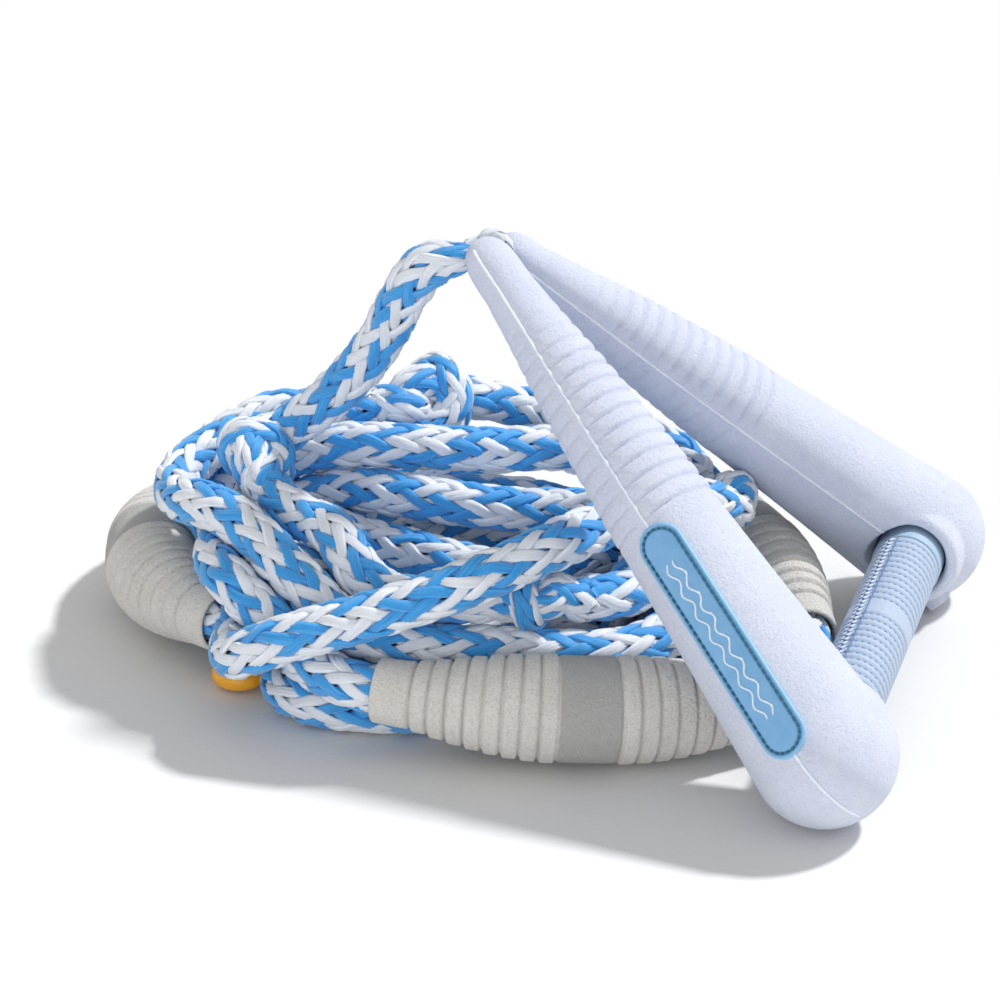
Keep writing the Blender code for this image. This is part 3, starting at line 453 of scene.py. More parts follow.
def braid(path, along, radius, lay, per_side, blue, frames_of, loose=1.0):
    """Points, faces and attributes of a round braid: per_side strands each way, two over and two under."""
    _, n, b = frames_of
    rows = len(path)
    sides = len(SECTION_U)
    points = []
    faces = []
    attributes = {"across": [], "along": [], "tint": [], "seed": []}
    grid = grid_faces(rows, sides)
    caps = end_caps(rows, sides)
    crossings = 2 * per_side
    turn = along / lay

    def wander(seed, slow, fast):
        """A smooth random run of values along the rope, about -1 to 1."""
        waves = (np.sin(turn * slow + 41.0 * seed) + np.sin(turn * fast + 97.0 * seed)
                 + np.sin(turn * 2.3 * fast + 173.0 * seed))
        return waves / 2.2

    for way in (1.0, -1.0):
        for k in range(per_side):
            seed = (0.618034 * (k + 1) + 0.37 * (way > 0)) % 1.0
            angle = 2 * math.pi * k / per_side + way * 2 * math.pi * turn
            angle = angle + loose * 0.075 * wander(seed, 9.3, 23.7)
            m = crossings * turn
            phase = (m + 2 * k - 0.5) if way > 0 else (2 * k - m - 2.5)
            over = np.tanh(1.6 * np.cos(phase * math.pi / 2)) / math.tanh(1.6)
            lift = loose * wander(seed + 0.31, 13.1, 31.9)
            centre_r = radius * (STRAND_AT + STRAND_SWAY * over + STRAND_LIFT * lift * (over > 0))
            slope = math.cos(math.atan(2 * math.pi * 0.8 * float(np.median(radius)) / lay))
            width = 2 * math.pi * radius * 0.80 / per_side * slope
            half_w = 0.5 * width * (0.90 + 0.13 * over + 0.10 * loose * wander(seed + 0.77, 17.3, 37.1))
            half_t = STRAND_HALF * radius * (1.0 + 0.10 * lift)
            radial = n * np.cos(angle)[:, None] + b * np.sin(angle)[:, None]
            centre = path + radial * centre_r[:, None]
            run = unit(np.gradient(centre, axis=0))
            normal = unit(radial - run * np.sum(radial * run, 1)[:, None])
            side = np.cross(run, normal)
            tilt = loose * 0.20 * wander(seed + 0.53, 11.9, 29.3)
            normal, side = (normal * np.cos(tilt)[:, None] + side * np.sin(tilt)[:, None],
                            side * np.cos(tilt)[:, None] - normal * np.sin(tilt)[:, None])
            across = side[:, None] * (SECTION_U[None, :, None] * half_w[:, None, None])
            outward = normal[:, None] * (SECTION_V[None, :, None] * half_t[:, None, None])
            base = len(points) * rows * sides
            points.append((centre[:, None] + across + outward).reshape(-1, 3))
            faces.append(grid[:, ::-1] + base)
            faces.append(caps[:, ::-1] + base)
            attributes["across"].append(np.tile(SECTION_U, rows))
            attributes["along"].append(np.repeat(along, sides))
            attributes["tint"].append(np.full(rows * sides, 1.0 if (k, way) in blue else 0.0))
            attributes["seed"].append(np.full(rows * sides, seed))
    return np.vstack(points), np.vstack(faces), {k: np.concatenate(v) for k, v in attributes.items()}


def overhand(name, centre, along):
    """Control points of an overhand knot pulled tight inside the knot's space."""
    r = KNOT_ROPE[name]
    size = (KNOT_SPACE[name] + KNOT_OVER - r * 0.98) / 1.12
    face = unit(TOWARDS_VIEW - along * TOWARDS_VIEW.dot(along))
    side = np.cross(face, along)
    turn = math.radians(KNOT_TURN[name])
    face, side = face * math.cos(turn) + side * math.sin(turn), side * math.cos(turn) - face * math.sin(turn)
    depth = max(size * 0.9, r * 0.8)
    return [centre + along * (size * (x - 0.1)) + side * (size * (y - 0.05)) + face * (depth * z)
            for x, y, z in OVERHAND]


def whole_rope():
    """The rope's centre line with its knots tied, its radius, and the piece that each point belongs to."""
    line, kinds = lay_rope()
    kinds = np.array(kinds)
    taken = np.full(len(line), -1)
    knots = list(KNOT_SPACE)
    for k, name in enumerate(knots):
        centre = line[kinds == name].mean(axis=0)
        ids = np.where(kinds == name)[0]
        near = np.linalg.norm(line - centre, axis=1) < KNOT_SPACE[name] * 1.12
        near[:ids[0] - 6] = False
        near[ids[-1] + 7:] = False
        taken[near] = k
        taken[ids] = k
    points = []
    radii = []
    labels = []
    i = 0
    run = 0
    while i < len(line):
        if taken[i] >= 0:
            k = taken[i]
            name = knots[k]
            last = np.where(taken == k)[0][-1]
            centre = line[kinds == name].mean(axis=0)
            along = unit(line[min(last + 1, len(line) - 1)] - line[i - 1])
            tied = overhand(name, centre, along)
            points += tied
            radii += [KNOT_ROPE[name]] * len(tied)
            labels += [name] * len(tied)
            run = k + 1
            i = last + 1
            continue
        points.append(line[i])
        radii.append(ROPE_OUTER)
        labels.append("rope_run_" + str(run) if run else "lead_rope")
        i += 1
    points.insert(0, points[0] + (EYE_AT - points[0]) * 0.34)
    radii.insert(0, ROPE_OUTER)
    labels.insert(0, "lead_rope")
    steps = 6
    fine, before = smooth_curve(points, steps)
    radii = np.array(radii)
    share = np.tile(np.arange(steps) / steps, len(points) - 1)
    radius = np.append(radii[:-1].repeat(steps) * (1 - share) + radii[1:].repeat(steps) * share, radii[-1])
    order = ["lead_rope"]
    for k, name in enumerate(knots):
        order += [name, "rope_run_" + str(k + 1)]
    number = np.array([order.index(labels[b]) for b in before], float)
    path, along, radius, number = resample(fine, ROPE_STEP, radius, number)
    tied = (number.astype(int) % 2 == 1)[1:-1, None]
    for _ in range(KNOT_EASE):
        path[1:-1] = np.where(tied, 0.25 * path[:-2] + 0.5 * path[1:-1] + 0.25 * path[2:], path[1:-1])
    kernel = np.array([1.0, 2.0, 3.0, 2.0, 1.0]) / 9.0
    radius = np.convolve(np.pad(radius, 2, mode="edge"), kernel, mode="valid")
    taper = np.sin(np.clip(along / LEAD_TAPER, 0, 1) * math.pi / 2)
    radius = np.minimum(radius, LEAD_END_R + (ROPE_OUTER - LEAD_END_R) * taper)
    return path, along, radius, [order[int(x + 1e-6)] for x in number]


def build_rope(finish):
    """The braid of every run of rope and every knot; gives the rope's centre line."""
    path, along, radius, labels = whole_rope()
    frames_all = tube_frames(path)
    # the lay angle stays about the same where the rope is squeezed, so its length follows the radius
    turns = np.concatenate([[0.0], np.cumsum(np.diff(along) * (ROPE_OUTER / radius[1:]) ** 0.6)])
    cuts = [i for i in range(1, len(labels)) if labels[i] != labels[i - 1]]
    bounds = [0] + cuts + [len(labels)]
    for first, end in zip(bounds[:-1], bounds[1:]):
        name = labels[first]
        halves = 2 if end - first > 700 else 1
        edges = np.linspace(first, end, halves + 1).astype(int)
        for part, (a, z) in enumerate(zip(edges[:-1], edges[1:])):
            z = min(z + 1, len(path))
            rows = slice(a, z)
            made = braid(path[rows], turns[rows], radius[rows], ROPE_LAY, ROPE_STRANDS, BLUE_STRANDS,
                         [f[rows] for f in frames_all])
            label = "braid_" + name + ("_" + "ab"[part] if halves > 1 else "")
            if name == "lead_rope":
                obj = new_object(label, *made[:2], None, made[2])
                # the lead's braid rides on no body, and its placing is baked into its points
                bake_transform(obj)
            else:
                obj = new_object(label, *made[:2], "coil", made[2])
            dress(obj, "rope_blue_white", finish, name)
    return path


def small_braid(name, path, radius, body, node, finish, first=(0.0, 0.0, 1.0), lay=0.03,
                blue=((0, 1.0), (1, -1.0))):
    """A thinner braid along a path, for the eye, the bridle and the boat loop."""
    path, along, r = resample(path, 0.0015, radius)
    made = braid(path, along, r, lay, 4, blue, tube_frames(path, first), 0.5)
    obj = new_object(name, *made[:2], body, made[2])
    dress(obj, "rope_blue_white", finish, node)


def build_bridle(finish, splice):
    """The bridle in the arms and the bar, its bend at the apex, and the eye that is spliced to the lead."""
    rise = (EYE_AT - APEX).dot(UP_HANDLE) + TIP_SETBACK
    middle = EYE_AT - UP_HANDLE * rise
    start = {side: APEX + BAR_DIR * TIP_OFFSET * side - UP_HANDLE * TIP_SETBACK for side in (-1, 1)}
    near_leg = [BULB_NEAR + (start[-1] - BULB_NEAR) * s for s in (0.06, 0.3, 0.6, 0.97)]
    far_leg = [BULB_FAR + (start[1] - BULB_FAR) * s for s in (0.97, 0.6, 0.3, 0.06)]
    bend = [middle - TIP_OFFSET * math.cos(a) * BAR_DIR + rise * math.sin(a) * UP_HANDLE
            for a in (math.pi * k / 8 for k in range(1, 8))]
    span = [BULB_FAR + (BULB_NEAR - BULB_FAR) * s for s in (0.06, 0.5, 0.94)]
    path, _ = smooth_curve(near_leg + bend + far_leg + span, 8)
    radius = BRIDLE_R - 0.0009 * np.exp(-(np.linalg.norm(path - EYE_AT, axis=1) / 0.012) ** 2)
    small_braid("bridle_braid", path, radius, "handle", "bridle_rope", finish, NORMAL)
    eye = EYE_AT - UP_HANDLE * 0.0006
    away = unit(splice - eye)
    up = unit(np.cross(BAR_DIR, away))
    up = up * np.sign(up[2])
    loop = [eye + EYE_TURN_R * (math.cos(a) * away + math.sin(a) * up)
            for a in (math.radians(52 + 32 * k) for k in range(9))]
    root = splice
    neck = eye + (splice - eye) * 0.62
    path = [root + up * 0.0018, neck + up * 0.0030] + loop + [neck - up * 0.0030, root - up * 0.0018]
    radii = [0.0038, 0.0036] + [EYE_R] * len(loop) + [0.0036, 0.0038]
    fine, _ = smooth_curve(path, 6)
    r = np.interp(np.linspace(0, 1, len(fine)), np.linspace(0, 1, len(radii)), radii)
    small_braid("eye_braid", fine, r, "lead", "lead_eye", finish, BAR_DIR, lay=0.034, blue=())


def build_boat_loop(finish, sleeve_finish):
    """The loop that goes over the boat's tow point, and its bright sleeve."""
    along = unit(LOOP_TIP - LOOP_ROOT)
    side = np.cross((0.0, 0.0, 1.0), along)
    length = np.linalg.norm(LOOP_TIP - LOOP_ROOT) - LOOP_HALF_WIDTH
    width = LOOP_HALF_WIDTH
    bow = [LOOP_ROOT + along * (length + width * math.cos(a)) + side * (width * math.sin(a))
           for a in (math.radians(90 - 20 * k) for k in range(10))]
    left = LOOP_ROOT + along * 0.004 + side * LOOP_HALF_WIDTH * 0.8
    right = LOOP_ROOT + along * 0.004 - side * LOOP_HALF_WIDTH * 0.8
    root = LOOP_ROOT - along * 0.006
    path, _ = smooth_curve([root, left, left + along * 0.004] + bow + [right + along * 0.004, right, root], 8)
    rope_r = LOOP_R * 0.8
    small_braid("loop_braid", path, np.full(len(path), rope_r), "coil", "boat_loop", finish)
    tube, _ = smooth_curve([left + along * 0.004] + bow + [right + along * 0.004], 8)
    tube, _ = resample(tube, 0.0012)
    _, n, b = tube_frames(tube)
    sides = 32
    ends = np.minimum(np.arange(len(tube)), np.arange(len(tube))[::-1])
    outer = SLEEVE_R * 0.8 - 0.0006 * np.exp(-ends / 0.8)
    skin = []
    for radius, order in ((outer, 1), (np.full(len(tube), rope_r + GAP), -1)):
        skin.append(tube[::order, None] + round_turn(n[::order], b[::order], sides) * radius[:, None, None])
    points = np.vstack(skin).reshape(-1, 3)
    obj = new_object("sleeve_tube", points, grid_faces(2 * len(tube), sides, wrap_rows=True)[:, ::-1], "coil")
    dress(obj, "sleeve_orange", sleeve_finish, "loop_sleeve")


# ---- floats ----------------------------------------------------------------------

FLOAT_RIBS = 8                                   # on each side of the middle band
FLOAT_GROOVE = 0.0016                            # depth of the grooves between them
FLOAT_STEP = 0.0005                              # spacing of the skin's rings


def float_profile(along):
    """A float's outer radius with its stepped ribs and the grooves between them."""
    d = abs(along)
    half = FLOAT_LENGTH / 2
    pitch = (half - FLOAT_COLLAR - FLOAT_BAND) / FLOAT_RIBS
    inner = half - FLOAT_COLLAR
    if d >= inner:
        edge = max(0.0, 1.0 - (half - d) / 0.0012)
        groove = math.exp(-((d - inner) / 0.0008) ** 2)
        return FLOAT_END_R + 0.0006 * (half - d) / FLOAT_COLLAR - 0.0007 * edge ** 2 - FLOAT_GROOVE * groove
    if d <= FLOAT_BAND:
        return FLOAT_FAT_R - 0.0003 - 0.0009 * math.exp(-((d - FLOAT_BAND) / 0.0007) ** 2)
    u = (inner - d) / pitch
    k = min(FLOAT_RIBS - 1, int(u))
    middle = inner - pitch * (k + 0.5)
    step = 0.35 * float_radius(d) + 0.65 * float_radius(middle)
    to_edge = min(u - k, k + 1 - u) * pitch
    round_edge = 0.0004 * max(0.0, 1 - to_edge / 0.0016) ** 2
    return step + 0.0002 - FLOAT_GROOVE * math.exp(-(to_edge / 0.0008) ** 2) - round_edge


def build_floats(finish):
    """The three floats: a ribbed skin bent along each float's arc, with the bore that the rope runs in."""
    half = FLOAT_LENGTH / 2
    stations = np.linspace(-half, half, int(FLOAT_LENGTH / FLOAT_STEP) + 1)
    sides = 72
    for name in FLOATS:
        path = np.array([float_point(name, d) for d in stations])
        _, n, b = tube_frames(path)
        normal = round_turn(n, b, sides)
        outer = np.array([float_profile(d) for d in stations])
        bore = FLOAT_BORE_R - 0.0006 + 0.0008 * np.maximum(0, 1 - (half - abs(stations)) / 0.0015)
        # the bore needs few rings, except at its ends
        count = len(stations)
        thin = np.concatenate([np.arange(4), np.arange(12, count, 12)[:-1], np.arange(count - 4, count)])
        skin = path[:, None] + normal * outer[:, None, None]
        hole = (path[:, None] + normal * bore[:, None, None])[thin[::-1]]
        face = 0.5 * (skin[0] + hole[-1])
        face_end = 0.5 * (skin[-1] + hole[0])
        rings = np.vstack([skin, face_end[None], hole, face[None]])
        # from_middle is 1.0 on the end faces and in the bore, which the finish darkens as painted shade
        from_middle = np.concatenate([np.repeat(abs(stations), sides), np.full(sides * (len(thin) + 2), 1.0)])
        body = "float_" + name
        faces = grid_faces(len(rings), sides, wrap_rows=True)[:, ::-1]
        obj = new_object("foam_" + name, rings, faces, body, {"from_middle": from_middle})
        obj.data.set_sharp_from_angle(angle=math.radians(50))
        dress(obj, "float_grey", finish, body)


# ---- arms ------------------------------------------------------------------------

# the near (True) and the far arm's nose: how far it runs past the frame's tip, and its radius
NOSES = {True: (0.0160, 0.0118), False: (0.0080, 0.0103)}
NOSE_TO = 0.013                                  # where the nose has reached its radius
EYE_SPACE = 0.0036                               # room for the eye on each side of the handle's middle
COLLAR_R = 0.0245                                # of the swelling round the bar's socket
COLLAR_END = 0.0315                              # its distance from the bulb's centre
TAB_AT = np.array([0.211, 0.026, 0.0088])        # small moulded tab under the far arm's socket
SEAM_R = 0.00062                                 # of the raised parting line
SEAM_LIFT = 0.00020                              # its middle's height above the skin
RIB_FROM = 0.034                                 # first groove of an arm, from its tip
RIB_PITCH = 0.0082
RIB_COUNT = 14
RIB_DEPTH = 0.0016


def arm_line(near):
    """An arm's tip, bulb centre and direction, and its parting plane's outward direction and normal."""
    side = -1.0 if near else 1.0
    end = BULB_NEAR if near else BULB_FAR
    start = APEX + BAR_DIR * (TIP_OFFSET * side) - UP_HANDLE * TIP_SETBACK
    along = unit(end - start)
    out = BAR_DIR * side
    out = unit(out - along * out.dot(along))
    turn = math.radians(-PARTING_TURN * side)
    parted = out * math.cos(turn) + NORMAL * math.sin(turn)
    return start, end, along, parted, NORMAL * math.cos(turn) - out * math.sin(turn)


def arm_radius(distance, length, nose):
    """The foam's outer radius: an eased nose, a slow swell along the arm and a round end."""
    if distance > length:
        return math.sqrt(max(0.0, BULB_R ** 2 - (distance - length) ** 2))
    if distance < NOSE_TO:
        return nose[1] * math.sqrt(max(0.0, 1.0 - ((NOSE_TO - distance) / (NOSE_TO + nose[0])) ** 4.5))
    u = distance / length
    at = [NOSE_TO / length] + ARM_AT[2:]
    radii = [nose[1]] + ARM_R[2:]
    lo = np.interp(max(0.0, u - 0.05), at, radii)
    hi = np.interp(min(1.0, u + 0.05), at, radii)
    return float(0.5 * np.interp(u, at, radii) + 0.25 * (lo + hi))


def revolve(name, start, axis, side, stations, radii, sides):
    """A closed round body about an axis, with a pole at each end."""
    other = np.cross(axis, side)
    a = 2 * math.pi * np.arange(sides) / sides
    turn = np.cos(a)[:, None] * side + np.sin(a)[:, None] * other
    points = np.array([start + axis * d + turn * r for d, r in zip(stations, radii)]).reshape(-1, 3)
    mesh = bpy.data.meshes.new(name)
    faces = grid_faces(len(stations), sides)[:, ::-1].tolist()
    faces.append(list(range(sides)))
    faces.append(list(reversed(range((len(stations) - 1) * sides, len(stations) * sides))))
    mesh.from_pydata((points + np.array(PLACE)).tolist(), [], faces)
    mesh.update()
    obj = bpy.data.objects.new(name, mesh)
    fix_normals(obj)
    mesh.shade_smooth()
    bpy.context.scene.collection.objects.link(obj)
    return obj


def fix_normals(obj):
    """Points every face of a closed mesh outwards."""
    bm = bmesh.new()
    bm.from_mesh(obj.data)
    bmesh.ops.recalc_face_normals(bm, faces=bm.faces)
    bm.to_mesh(obj.data)
    bm.free()


def apply_modifiers(obj):
    """Replaces an object's mesh with what its modifiers make of it."""
    graph = bpy.context.evaluated_depsgraph_get()
    made = bpy.data.meshes.new_from_object(obj.evaluated_get(graph))
    obj.modifiers.clear()
    obj.data = made


def combine(obj, other, operation):
    """Applies a Boolean with another object, which is then removed."""
    step = obj.modifiers.new(operation, "BOOLEAN")
    step.operation = operation
    step.solver = "EXACT"
    step.object = other
    apply_modifiers(obj)
    bpy.data.objects.remove(other)


def build_arm(near, finish, seam):
    """One arm as a single skin: nose, swell, round end, the collar round the bar's socket, and its seams."""
    label = "near" if near else "far"
    start, end, along, out, up = arm_line(near)
    length = np.linalg.norm(end - start)
    nose = NOSES[near]
    stations = [-nose[0] + (NOSE_TO + nose[0]) * (1 - math.cos(math.pi / 2 * k / 14)) for k in range(1, 15)]
    stations += [NOSE_TO + (length - NOSE_TO) * k / 60 for k in range(1, 61)]
    stations += [length + BULB_R * math.sin(math.radians(a)) for a in range(4, 89, 4)]
    radii = [arm_radius(d, length, nose) for d in stations]
    arm = revolve("arm_foam_" + label, start, along, out, stations, radii, 96)
    bar = BAR_DIR if near else -BAR_DIR
    across = unit(np.cross(bar, NORMAL))
    lip = [0.0, COLLAR_END - 0.006, COLLAR_END - 0.002, COLLAR_END]
    lip_r = [COLLAR_R + 0.003, COLLAR_R, COLLAR_R - 0.001, COLLAR_R - 0.004]
    combine(arm, revolve("collar", end, bar, across, lip, lip_r, 64), "UNION")
    if not near:
        tab = revolve("tab", TAB_AT - BAR_DIR * 0.006, BAR_DIR, unit(np.cross(BAR_DIR, (0.0, 0.0, 1.0))),
                      [0.0, 0.001, 0.017], [0.0072, 0.0080, 0.0080], 4)
        combine(arm, tab, "UNION")
    depth = [SOCKET_FLOOR, COLLAR_END - 0.005, COLLAR_END - 0.002, COLLAR_END + 0.002, SOCKET_CUT + 0.01]
    widths = [SOCKET_R, SOCKET_R, SOCKET_R + 0.0007, SOCKET_R + 0.0024, SOCKET_R + 0.0024]
    combine(arm, revolve("socket", end, bar, across, depth, widths, 64), "DIFFERENCE")
    remesh = arm.modifiers.new("even_skin", "REMESH")
    remesh.mode = "VOXEL"
    remesh.voxel_size = 0.0008
    relax = arm.modifiers.new("soft_edges", "SMOOTH")
    relax.factor = 0.5
    relax.iterations = 14
    apply_modifiers(arm)
    shape_arm(arm, start, along, out, up, length, near)
    arm.data.shade_smooth()
    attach(arm, "handle")
    dress(arm, "foam_lilac", finish, "arm_" + label + "_upper", "arm_" + label + "_lower")
    build_seam(arm, label, start, end, along, out, up, length, nose, seam)


def shape_arm(arm, start, along, out, up, length, near):
    """Ribs round the arm's slim part, the nose's flat inner side, and the flat where it meets the floor."""
    mesh = arm.data
    points = np.empty(len(mesh.vertices) * 3, np.float32)
    mesh.vertices.foreach_get("co", points)
    points = points.reshape(-1, 3).astype(float) - np.array(PLACE)
    rel = points - start
    d = rel @ along
    radial = rel - d[:, None] * along
    r = np.linalg.norm(radial, axis=1)
    radial = radial / np.maximum(r, 1e-9)[:, None]
    skin = r > 0.8 * np.interp(d / length, ARM_AT, ARM_R)
    above = radial @ up
    sideways = abs(radial @ out)
    last = RIB_FROM + RIB_PITCH * (RIB_COUNT - 1)
    place = (d - RIB_FROM) / RIB_PITCH
    gap = (place - np.round(place)) * RIB_PITCH
    inside = (d > RIB_FROM - RIB_PITCH / 2) & (d < last + RIB_PITCH / 2)
    groove = np.exp(-(gap / 0.0011) ** 2)
    swell = np.sqrt(np.clip(1.0 - (2.0 * (place - np.floor(place)) - 1.0) ** 2, 0.0, 1.0))
    fade = np.clip((d - RIB_FROM + RIB_PITCH) / (4 * RIB_PITCH), 0.3, 1.0)
    fade = fade * np.clip((last + RIB_PITCH * 0.5 - d) / (RIB_PITCH * 0.5), 0.0, 1.0)
    strength = np.where(above > 0, 1.0, 0.55) * np.clip((1.0 - sideways) * 30.0, 0.35, 1.0)
    shift = inside * skin * fade * strength * RIB_DEPTH * (0.55 * swell - 0.75 * groove)
    points = points + radial * shift[:, None]
    side = -BAR_DIR if near else BAR_DIR
    from_middle = (points - APEX) @ side
    short = np.where(d < NOSE_TO * 3, np.maximum(0.0, EYE_SPACE - from_middle), 0.0)
    points = points + side * short[:, None]
    points[:, 2] = np.maximum(points[:, 2], 0.0)
    mesh.vertices.foreach_set("co", (points + np.array(PLACE)).astype(np.float32).ravel())
    mesh.update()


def build_seam(arm, label, start, end, along, out, up, length, nose, finish):
    """The raised parting line on both sides of an arm, laid on its skin."""
    tree = BVHTree.FromPolygons([v.co for v in arm.data.vertices], [p.vertices for p in arm.data.polygons])
    for side, name, last in ((1.0, "outer", length + BULB_R * 0.97), (-1.0, "inner", length - 0.021)):
        path = []
        for d in np.linspace(-nose[0] * 0.6, last, 260):
            if d <= length:
                origin, aim = start + along * d + out * side * 0.06, -out * side
            else:
                a = math.asin(min(1.0, (d - length) / BULB_R))
                aim = -unit(out * side * math.cos(a) + along * math.sin(a))
                origin = end - aim * 0.06
            hit = tree.ray_cast(Vector(origin) + PLACE, Vector(aim))[0]
            if hit is not None:
                path.append(np.array(hit - PLACE) - aim * SEAM_LIFT)
        path = np.array(path)
        for _ in range(3):
            path[1:-1] = 0.25 * path[:-2] + 0.5 * path[1:-1] + 0.25 * path[2:]
        along_path = np.concatenate([[0.0], np.cumsum(np.linalg.norm(np.diff(path, axis=0), axis=1))])
        rough = 0.00010 * np.sin(along_path * 870.0) * np.sin(along_path * 391.0 + 1.0)
        obj = new_object("seam_" + label + "_" + name, *closed_tube(path, SEAM_R + rough, up, 8), "handle")
        dress(obj, "foam_lilac", finish)


# ---- badges ----------------------------------------------------------------------

BADGE_RAISE = 0.0014                             # the rim's height above the foam
STITCH_INSET = 0.0026                            # the stitch line's distance from the outline
STITCH_PITCH = 0.0034
STITCH_LENGTH = 0.0024
# distances from the outline at which the panel has rings of points
BADGE_INSETS = [0.0, 0.0003, 0.0007, 0.0012, 0.0017, 0.0021, 0.0024, 0.0026, 0.0028, 0.0031, 0.0036, 0.0044,
                0.0058, 0.0075, 0.0092, BADGE_WIDTH / 2]


def arm_skin(start, along, out, up, length, d, w, height):
    """A point on an arm's outer skin: d along it, w across it from the parting line, height above it."""
    r = arm_radius(d, length, NOSES[True])
    a = w / r
    turn = math.cos(a) * out + math.sin(a) * up
    return start + along * d + turn * (r + height)


def badge_height(inset):
    """Raised rim, stitch channel and slightly sunken panel, by the distance from the outline."""
    rim = BADGE_RAISE * min(1.0, max(0.0, inset) / 0.0007) ** 0.5
    channel = 0.0005 * math.exp(-((inset - STITCH_INSET) / 0.0007) ** 2)
    panel = 0.00025 * min(1.0, max(0.0, (inset - STITCH_INSET) / 0.0012))
    return rim - channel - panel


def build_badge(near, finish, thread, mark_finish):
    """A badge on an arm: rimmed panel, stitches in a channel, and two raised wavy lines."""
    label = "near" if near else "far"
    start, end, along, out, up = arm_line(near)
    length = np.linalg.norm(end - start)
    middle = BADGE_FROM + BADGE_LENGTH / 2
    straight = BADGE_LENGTH / 2 - BADGE_WIDTH / 2
    outline = 132

    def on_outline(s, inset):
        """A point of the stadium at share s of its length, moved inwards by inset."""
        radius = BADGE_WIDTH / 2
        total = 4 * straight + 2 * math.pi * radius
        x = (s % 1.0) * total
        reach = radius - inset
        for heading in (1, -1):
            if x < 2 * straight:
                return heading * (x - straight), -heading * reach
            x -= 2 * straight
            if x < math.pi * radius:
                a = x / radius - math.pi / 2
                return heading * (straight + reach * math.cos(a)), heading * reach * math.sin(a)
            x -= math.pi * radius
        return straight, -reach

    rings = []
    for inset in [0.0] + BADGE_INSETS:
        height = badge_height(inset) if rings else -0.0008
        rings.append([arm_skin(start, along, out, up, length, middle + u, v, height)
                      for u, v in (on_outline(k / outline, inset) for k in range(outline))])
    points = np.array(rings)
    obj = new_object("badge_panel_" + label, points, grid_faces(len(points), outline), "handle",
                     {"inset": np.repeat([0.0] + BADGE_INSETS, outline)})
    bm = bmesh.new()
    bm.from_mesh(obj.data)
    bmesh.ops.remove_doubles(bm, verts=bm.verts, dist=0.00012)
    bmesh.ops.recalc_face_normals(bm, faces=bm.faces)
    middle_face = min(bm.faces, key=lambda f: (f.calc_center_median() - Vector(rings[8][0]) - PLACE).length)
    if middle_face.normal.dot(Vector(out)) < 0:
        bmesh.ops.reverse_faces(bm, faces=bm.faces)
    bm.to_mesh(obj.data)
    bm.free()
    obj.data.shade_smooth()
    dress(obj, "badge_blue", finish, "badge_" + label)
    total = 4 * straight + 2 * math.pi * (BADGE_WIDTH / 2)
    count = int(total / STITCH_PITCH)
    stitches = []
    for k in range(count):
        share = STITCH_LENGTH / STITCH_PITCH / count / 2
        line = []
        for q in range(5):
            u, v = on_outline((k + 0.5) / count + share * (q / 2 - 1), STITCH_INSET)
            height = BADGE_RAISE + 0.00005 - 0.0005 * ((q - 2) / 2) ** 2
            line.append(arm_skin(start, along, out, up, length, middle + u, v, height))
        stitches.append(line)
    threads("badge_stitches_" + label, stitches, 0.00050, out, "handle", thread, "badge_blue")
    waves = []
    for row in (-0.5, 0.5):
        line = []
        for q in range(81):
            u = (q / 80 - 0.5) * BADGE_LENGTH * 0.68
            v = row * 0.0042 + 0.0013 * math.sin(u * 2 * math.pi / 0.0115 + row)
            line.append(arm_skin(start, along, out, up, length, middle + u, v, badge_height(0.009) + 0.0001))
        waves.append(line)
    threads("badge_waves_" + label, waves, 0.00045, out, "handle", mark_finish, "badge_blue")


def threads(name, lines, radius, up, body, finish, slot_name):
    """Thin round-ended threads along lines of points, as one piece."""
    points = []
    faces = []
    count = 0
    for line in lines:
        path = np.array(line, float)
        r = np.full(len(path), radius)
        r[[0, -1]] *= 0.45
        tube_points, tube_faces = closed_tube(path, r, up, 6)
        points.append(tube_points)
        faces.append(tube_faces + count)
        count += len(tube_points)
    obj = new_object(name, np.vstack(points), np.vstack(faces), body)
    dress(obj, slot_name, finish)
    return obj


# ---- wrap and lacing -------------------------------------------------------------------

ROW_PITCH = 0.0058                               # of the wrap's quilted rows
ROWS_EACH_SIDE = 12
BAND_HALF = 0.0085                               # half the plain band in the middle of the wrap
ROW_STITCHES = 32                                # stitches round the bar in a row
LACING_PITCH = 0.0044
LACING_TURN = 20.0                               # where the lacing runs, in degrees round the bar
LACING_CLEAR = 14.0                              # degrees on each side of it that the rows keep free


def bar_turn(angle):
    """A direction out of the bar: 0 is towards the apex, 90 is the handle's upper side, in degrees."""
    a = math.radians(angle)
    return UP_HANDLE * math.cos(a) + NORMAL * math.sin(a)


def bar_sleeve(name, stations, outer, inner, node, slot_name, finish, sides=96):
    """A round sleeve on the bar, from distances along it and the outer radius at each."""
    a = 2 * math.pi * np.arange(sides) / sides
    turn = np.cos(a)[:, None] * UP_HANDLE + np.sin(a)[:, None] * NORMAL
    stations = np.asarray(stations, float)
    outer = np.asarray(outer, float)
    skin = [BULB_NEAR + BAR_DIR * d + turn * r for d, r in zip(stations, outer)]
    skin += [BULB_NEAR + BAR_DIR * d + turn * inner for d in (stations[-1], stations[0])]
    obj = new_object(name, np.array(skin).reshape(-1, 3), grid_faces(len(skin), sides, wrap_rows=True), "bar")
    fix_normals(obj)
    obj.data.set_sharp_from_angle(angle=math.radians(50))
    dress(obj, slot_name, finish, node)


